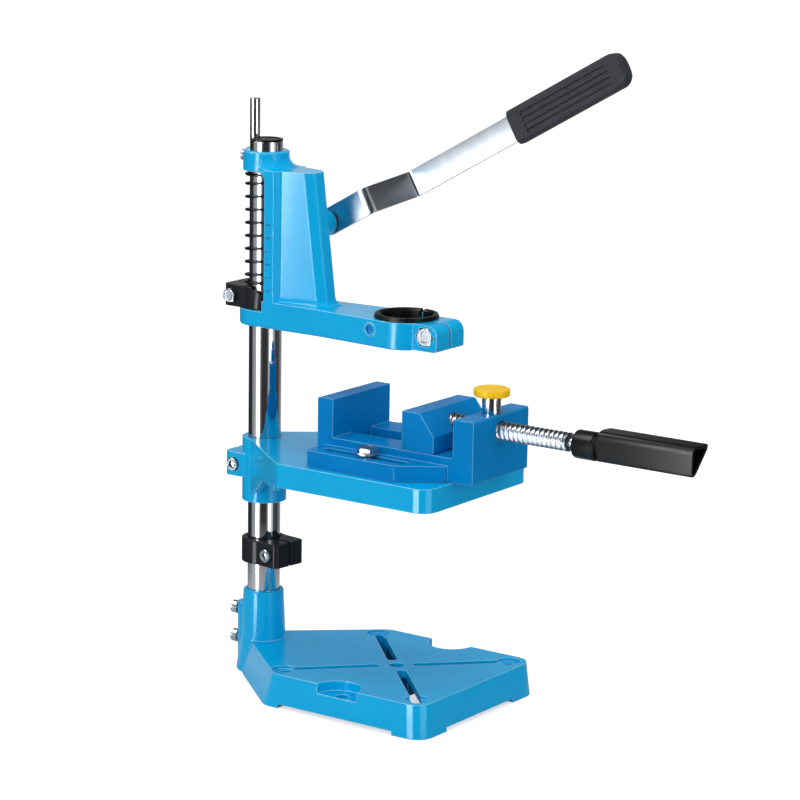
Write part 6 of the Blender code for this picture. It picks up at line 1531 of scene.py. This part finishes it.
@dataclass
class FeedLever(SubAssembly):
    """The pinion shaft and the bent lever with its grip, in the lever's own frame.

    The frame's r runs along the lever from the shaft's axis, its width runs across, and x is the
    stand's own.
    """

    axis: Point = (0.0, -36.0 * MM, 348.5 * MM)
    pitch: float = math.radians(29.43)
    half_w: float = 10.0 * MM
    half_t: float = 2.0 * MM
    edge: float = 0.4 * MM
    inner_x: float = 31.0 * MM
    outer_x: float = 75.0 * MM
    bends: tuple[float, float] = (40.5 * MM, 54.8 * MM)
    bend_r: float = 6.0 * MM
    end_r: float = 255.0 * MM
    offset: float = 2.0 * MM
    grip_start: float = 156.5 * MM
    grip_tip: float = 266.0 * MM
    grip_half_w: float = 13.25 * MM
    grip_half_t: float = 5.5 * MM
    grip_chamfer: float = 2.2 * MM
    grip_round: float = 10.0 * MM
    grooves: int = 4
    groove_start: float = 170.5 * MM
    groove_end: float = 252.0 * MM
    groove_pitch: float = 4.6 * MM
    groove_w: float = 1.3 * MM
    groove_depth: float = 1.1 * MM
    groove_hook: float = 1.9 * MM
    groove_flank: float = 0.25 * MM
    grip_crease: float = 25.0
    shaft_r: float = 6.0 * MM
    shaft_bevel: float = 0.5 * MM
    pin_edge: float = 0.2 * MM
    tenon_half: float = 4.5 * MM
    tenon_length: float = 4.0 * MM
    columns: int = 96
    bolt: HexBolt = HexBolt(3.0 * MM, 10.0 * MM, 4.0 * MM, 1.0 * MM, 7.5 * MM, 0.8 * MM)

    def place(self, along: Array, width: Array, x: Array) -> Array:
        """Carry (r, width, x) into the stand's frame.

        Args:
            along: Distance from the shaft's axis along the lever.
            width: Distance across the lever.
            x: The stand's x.

        Returns:
            Points with x, y and z in the last column.
        """
        cos, sin = math.cos(self.pitch), math.sin(self.pitch)
        along, width, x = np.broadcast_arrays(along, width, x)
        y = self.axis[1] - along * cos + width * sin
        z = self.axis[2] + along * sin + width * cos
        return np.stack((x, y, z), axis=-1)

    def build(self) -> None:
        """Make the lever's pieces."""
        self.skin("pinion", "feed_pinion", Body.LEVER, Slot.ZINC, 20.0)
        self.settle(self.build_shaft(), Body.LEVER, Slot.ZINC, "pinion_shaft")
        low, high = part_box("pinion_pin")
        pin_r = (high.x - low.x) / 2
        profile = rounded([(0.0, low.z), (pin_r, low.z), (pin_r, high.z), (0.0, high.z)], self.pin_edge, 3)
        pin = turned_piece("feed_pin", profile, Seat((0.0, self.axis[1], 0.0), Way.UP.value), 32)
        self.settle(pin, Body.LEVER, Slot.ZINC, "pinion_pin")
        self.settle(self.build_strip(), Body.LEVER, Slot.ZINC, "lever_arm")
        self.settle(self.build_grip(), Body.LEVER, Slot.GRIP, "lever_grip")
        self.fasten(self.bolt, "lever_bolt", "lever_screw", Body.LEVER, Way.FAR, 0.15)

    def build_shaft(self) -> Piece:
        """Turn the shaft; on the tenon the radius stops at the two flats square to the lever's width."""
        low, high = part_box("pinion_shaft")
        columns, radius, bevel = self.columns, self.shaft_r, self.shaft_bevel
        angle = np.arange(columns)[None, :] * FULL_TURN / columns
        flat = np.minimum(radius, self.tenon_half / np.maximum(np.abs(np.cos(angle + self.pitch)), 0.1))
        shoulder = high.x - self.tenon_length
        rings = [(0.0, low.x), (radius - bevel, low.x), (radius, low.x + bevel), (radius, shoulder),
                 (flat, shoulder), (flat, high.x), (0.0, high.x)]
        return ring_piece("feed_shaft", *ring_rows(columns, rings), Seat(self.axis, Way.FAR.value))

    def build_strip(self) -> Piece:
        """Sweep a rounded rectangle along the cranked line, with a half round at the shaft.

        At the shaft the half width is the strip's times the sine of an angle that runs from zero
        to a right angle, and the station lies behind the axis by its cosine.
        """
        line = rounded([(0.0, self.inner_x), (self.bends[0], self.inner_x), (self.bends[1], self.outer_x),
                        (self.end_r, self.outer_x)], self.bend_r, 8)
        turn = np.linspace(0.0, math.pi / 2, 25)[:-1]
        nose = np.stack((-self.half_w * np.cos(turn), np.full_like(turn, self.inner_x)), axis=1)
        half = np.concatenate((self.half_w * np.sin(turn), np.full(len(line), self.half_w)))[:, None]
        path = np.concatenate((nose, line))
        along = np.gradient(path, axis=0)
        along /= np.linalg.norm(along, axis=1)[:, None]
        edge = np.minimum(self.edge, half / 2)
        quarter = np.linspace(0.0, math.pi / 2, 4)
        corner = np.concatenate([quarter + k * math.pi / 2 for k in range(4)])[None, :]
        sign_w = np.repeat((1.0, -1.0, -1.0, 1.0), 4)[None, :]
        sign_t = np.repeat((1.0, 1.0, -1.0, -1.0), 4)[None, :]
        width = sign_w * (half - edge) + edge * np.cos(corner)
        thick = sign_t * (self.half_t - edge) + edge * np.sin(corner)
        shift = self.offset * (path[:, 1:] - self.inner_x) / (self.outer_x - self.inner_x)
        r = path[:, :1] - along[:, 1:] * thick
        x = path[:, 1:] + along[:, :1] * thick
        rows = self.place(r, width + shift, x)
        last = np.broadcast_to(rows[-1].mean(axis=0), rows[-1:].shape)
        return loop_piece("lever_strip", np.concatenate((rows, last)))

    def build_grip(self) -> Piece:
        """Sweep the grip's chamfered section along the lever, and sink the grooves in its near face.

        The section's half width shrinks at the tip by a circle's arc; a groove's depth is a soft
        step of the distance to its line, which ends in a short hook.
        """
        start, tip, chamfer, arc = self.grip_start, self.grip_tip, self.grip_chamfer, self.grip_round
        # Rows a fifth of a millimetre apart, for the ends of the grooves.
        fine = np.arange(-1.4, 1.6, 0.2) * MM
        r = np.unique(np.concatenate((
            [start, start + chamfer], np.linspace(start + chamfer, tip - arc, 40), self.groove_start + fine,
            self.groove_end + fine, tip - arc * (1 - np.sin(np.linspace(0.0, math.pi / 2, 20))),
            [tip - chamfer])))[:, None]
        swell = np.clip((r - start) / chamfer, 0.0, 1.0)
        bend = np.clip(r - (tip - arc), 0.0, arc)
        half_w = self.grip_half_w - chamfer * (1 - swell) - (arc - np.sqrt(arc ** 2 - bend ** 2))
        half_t = self.grip_half_t - chamfer * (1 - swell) - np.clip(r - (tip - chamfer), 0.0, chamfer)
        flat_w, flat_t = half_w - chamfer * 0.98, half_t - chamfer * 0.98
        share = np.linspace(-1.0, 1.0, 121)[None, :]
        near = flat_w * share
        depth = np.zeros_like(near)
        for number in range(self.grooves):
            middle = (number - (self.grooves - 1) / 2) * self.groove_pitch
            run = np.maximum(np.maximum(self.groove_start - r, r - self.groove_end), 0.0)
            fall = np.maximum(np.maximum(near - middle, middle - self.groove_hook - near), 0.0)
            away = np.minimum(np.hypot(run, near - middle), np.hypot(r - self.groove_start, fall))
            step = np.clip((self.groove_w / 2 - away) / self.groove_flank, 0.0, 1.0)
            depth = np.maximum(depth, self.groove_depth * step * step * (3 - 2 * step))
        width = np.concatenate((near, half_w, half_w, flat_w, -flat_w, -half_w, -half_w), axis=1)
        thick = np.concatenate((depth - half_t, -flat_t, flat_t, half_t, half_t, flat_t, -flat_t), axis=1)
        rows = self.place(r, width + self.offset, thick + self.outer_x)
        first, last = (np.broadcast_to(self.place(end, self.offset, self.outer_x), rows[:1].shape)
                       for end in (start, tip))
        return loop_piece("lever_handle", np.concatenate((first, rows, last)), self.grip_crease)


# Studio


@dataclass
class Studio:
    """Camera, floor, room and lamps for the picture.

    Angles and the room's headings are in degrees, places and the floor's distances in metres, and a
    brightness of one is white. A rise is the upward share of a ray's direction.
    """

    camera_at: Point = (-1.8916, -1.45615, 0.7342)
    azimuth: float = -54.88
    elevation: float = 12.32
    roll: float = 0.91
    lens_mm: float = 144.35
    sensor_mm: float = 36.0
    sky: float = 0.86
    floor_size: float = 30.0
    floor_drop: float = 0.2 * MM
    floor_glow: float = 0.62
    paper: str = "#C4C4C4"
    mirror_near: float = 0.10
    mirror_far: float = 0.32
    mirror_top: float = 24.0
    crown: float = 9.0
    crown_way: Point = (-0.21, 0.56, 0.80)
    crown_rim: tuple[float, float] = (0.955, 0.98)
    dim_share: float = 0.25
    dim_rise: tuple[float, float] = (0.15, 0.31)
    room: list[tuple[float, float]] = field(default_factory=lambda: [
        (-180.0, 1.0), (-176.0, 0.45), (-170.0, 0.12), (-160.0, 0.04), (-132.0, 0.04), (-124.0, 0.10),
        (-116.0, 0.6), (-110.0, 1.5), (-106.0, 4.0), (-97.0, 4.0), (-93.0, 0.9), (-82.0, 0.7), (-72.0, 0.08),
        (-40.0, 0.05), (-25.0, 0.15), (0.0, 0.35), (35.0, 0.62), (48.0, 0.5), (58.0, 0.10), (70.0, 0.03),
        (112.0, 0.03), (122.0, 0.25), (130.0, 0.38), (148.0, 0.42), (154.0, 1.0), (159.0, 3.0),
        (163.0, 9.0), (168.0, 23.0), (174.0, 23.0), (178.0, 4.0),
    ])
    lamps: list[tuple[str, Point, Point, float, float, float]] = field(default_factory=lambda: [
        ("softbox_left", (-1.8, -0.1, 0.9), (0.0, -0.08, 0.2), 1.2, 1.2, 9.0),
        ("overhead", (0.1, -0.3, 2.0), (0.0, -0.1, 0.2), 1.6, 1.2, 9.0),
    ])

    def build(self) -> None:
        """Set up the whole studio."""
        self.build_camera()
        self.build_floor()
        self.build_world()
        for name, place, target, width, height, power in self.lamps:
            self.build_lamp(name, place, target, width, height, power)
        bpy.context.scene.view_settings.view_transform = "Standard"

    def build_camera(self) -> None:
        """Stand the camera where the photograph was taken."""
        data = bpy.data.cameras.new("camera")
        data.lens = self.lens_mm
        data.sensor_width = self.sensor_mm
        data.clip_end = 100.0
        camera = bpy.data.objects.new("camera", data)
        az, el, roll = (math.radians(value) for value in (self.azimuth, self.elevation, self.roll))
        back = Vector((math.sin(az) * math.cos(el), -math.cos(az) * math.cos(el), math.sin(el)))
        right = Vector((math.cos(az), math.sin(az), 0.0))
        up = back.cross(right)
        across = right * math.cos(roll) + up * math.sin(roll)
        over = up * math.cos(roll) - right * math.sin(roll)
        turn = Matrix((across, over, back)).transposed().to_4x4()
        camera.matrix_world = Matrix.Translation(self.camera_at) @ turn
        bpy.context.scene.collection.objects.link(camera)
        bpy.context.scene.camera = camera

    def build_floor(self) -> None:
        """Lay a white paper floor that keeps the stand's shadow.

        To the camera it glows up to white. What mirrors it sees it only near the column: beyond
        that it lets the mirrored ray pass, so that the room's bands lie below the stand too.
        """
        half = self.floor_size / 2
        points = np.array([(-half, -half, 0.0), (half, -half, 0.0), (half, half, 0.0), (-half, half, 0.0)])
        points[:, 2] -= self.floor_drop
        floor = mesh_piece("floor", points, [(0, 1, 2, 3)])
        if floor.data.polygons[0].normal.z < 0:
            floor.data.flip_normals()
        material = bpy.data.materials.new("floor_paper")
        material.use_nodes = True
        material.node_tree.nodes.clear()
        bench = NodeBench(material.node_tree)
        paper = bench.add("BsdfDiffuse", Color=linear_colour(self.paper))
        seen = bench.add("LightPath", "Is Camera Ray")
        mirrored = bench.add("LightPath", "Is Glossy Ray")
        glow = bench.add("Math", settings={"operation": "MULTIPLY"}, _0=seen, _1=self.floor_glow)
        lit = bench.add("AddShader", _0=paper, _1=bench.add("Emission", Strength=glow))
        place = bench.add("TexCoord", "Object")
        away = bench.add("VectorMath", "Value", {"operation": "LENGTH"}, _0=place)
        share = bench.add("MapRange", Value=away, From_Min=self.mirror_near, From_Max=self.mirror_far)
        hidden = bench.add("Math", settings={"operation": "MULTIPLY"}, _0=mirrored, _1=share)
        ground = bench.add("MixShader", _0=hidden, _1=lit, _2=bench.add("BsdfTransparent"))
        bench.add("OutputMaterial", Surface=ground)
        floor.data.materials.append(material)

    def build_world(self) -> None:
        """Make the room white to the camera, evenly grey as light, and banded for what mirrors it.

        The bands stand for the softboxes and black cards round the stand and fade as they rise. A
        small softbox overhead, the crown, lies behind them where its way and the ray agree.
        """
        world = bpy.data.worlds.new("room")
        bpy.context.scene.world = world
        world.use_nodes = True
        world.node_tree.nodes.clear()
        bench = NodeBench(world.node_tree)
        way = bench.add("TexCoord", "Generated")
        parts = world.node_tree.nodes.new("ShaderNodeSeparateXYZ")
        bench.wire(parts, {"_0": way})
        heading = bench.add("Math", settings={"operation": "ARCTAN2"}, _0=parts.outputs["Y"],
                            _1=parts.outputs["X"])
        share = bench.add("MapRange", Value=heading, From_Min=-math.pi, From_Max=math.pi)
        ramp = world.node_tree.nodes.new("ShaderNodeValToRGB")
        bench.wire(ramp, {"Fac": share})
        elements = ramp.color_ramp.elements
        elements[1].position = 1.0
        elements[1].color = (self.room[0][1] / self.mirror_top,) * 3 + (1.0,)
        elements[0].color = elements[1].color
        for degrees, value in self.room[1:]:
            element = elements.new((degrees + 180.0) / 360.0)
            element.color = (value / self.mirror_top,) * 3 + (1.0,)
        fade = bench.add("MapRange", Value=parts.outputs["Z"], From_Min=self.dim_rise[0],
                         From_Max=self.dim_rise[1], To_Min=self.mirror_top,
                         To_Max=self.mirror_top * self.dim_share)
        walls = bench.add("Background", Color=ramp.outputs["Color"], Strength=fade)
        above = bench.add("Background", Color=linear_colour("#FFFFFF"), Strength=self.crown)
        near = bench.add("VectorMath", "Value", {"operation": "DOT_PRODUCT"}, _0=way, _1=self.crown_way)
        inside = bench.add("MapRange", Value=near, From_Min=self.crown_rim[0], From_Max=self.crown_rim[1])
        mirrored = bench.add("MixShader", _0=inside, _1=walls, _2=above)
        plain = bench.add("Background", Color=linear_colour("#FFFFFF"), Strength=self.sky)
        white = bench.add("Background", Color=linear_colour("#FFFFFF"), Strength=1.0)
        first = bench.add("MixShader", _0=bench.add("LightPath", "Is Glossy Ray"), _1=plain, _2=mirrored)
        seen = bench.add("Math", settings={"operation": "MAXIMUM"},
                         _0=bench.add("LightPath", "Is Camera Ray"),
                         _1=bench.add("LightPath", "Is Transmission Ray"))
        bench.add("OutputWorld", Surface=bench.add("MixShader", _0=seen, _1=first, _2=white))

    def build_lamp(self, name: str, place: Point, target: Point, width: float, height: float,
                   power: float) -> None:
        """Hang a soft rectangular lamp that looks at the stand and shows in no mirror.

        Args:
            name: Name of the lamp.
            place: Its centre.
            target: The point it looks at.
            width: Width of its face.
            height: Height of its face.
            power: Its power in watts.
        """
        data = bpy.data.lights.new(name, "AREA")
        data.shape = "RECTANGLE"
        data.size = width
        data.size_y = height
        data.energy = power
        lamp = bpy.data.objects.new(name, data)
        lamp.location = place
        lamp.rotation_mode = "QUATERNION"
        lamp.rotation_quaternion = (Vector(target) - Vector(place)).to_track_quat("-Z", "Y")
        lamp.visible_glossy = False
        bpy.context.scene.collection.objects.link(lamp)


def main() -> None:
    """Build the whole stand in order, then the studio."""
    logging.basicConfig(level=logging.INFO, format="%(message)s", stream=sys.stdout)
    for old in list(bpy.data.objects):
        bpy.data.objects.remove(old, do_unlink=True)
    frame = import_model()
    shelf = Shelf()
    for group in (FootPlate, Column, StopCollar, WorkTable, DrillVise, FeedHead, LiftSpring, FeedLever):
        group(shelf, frame["nodes"]).build()
        LOG.info("%s done", group.__name__)
    Studio().build()


if __name__ == "__main__":
    main()
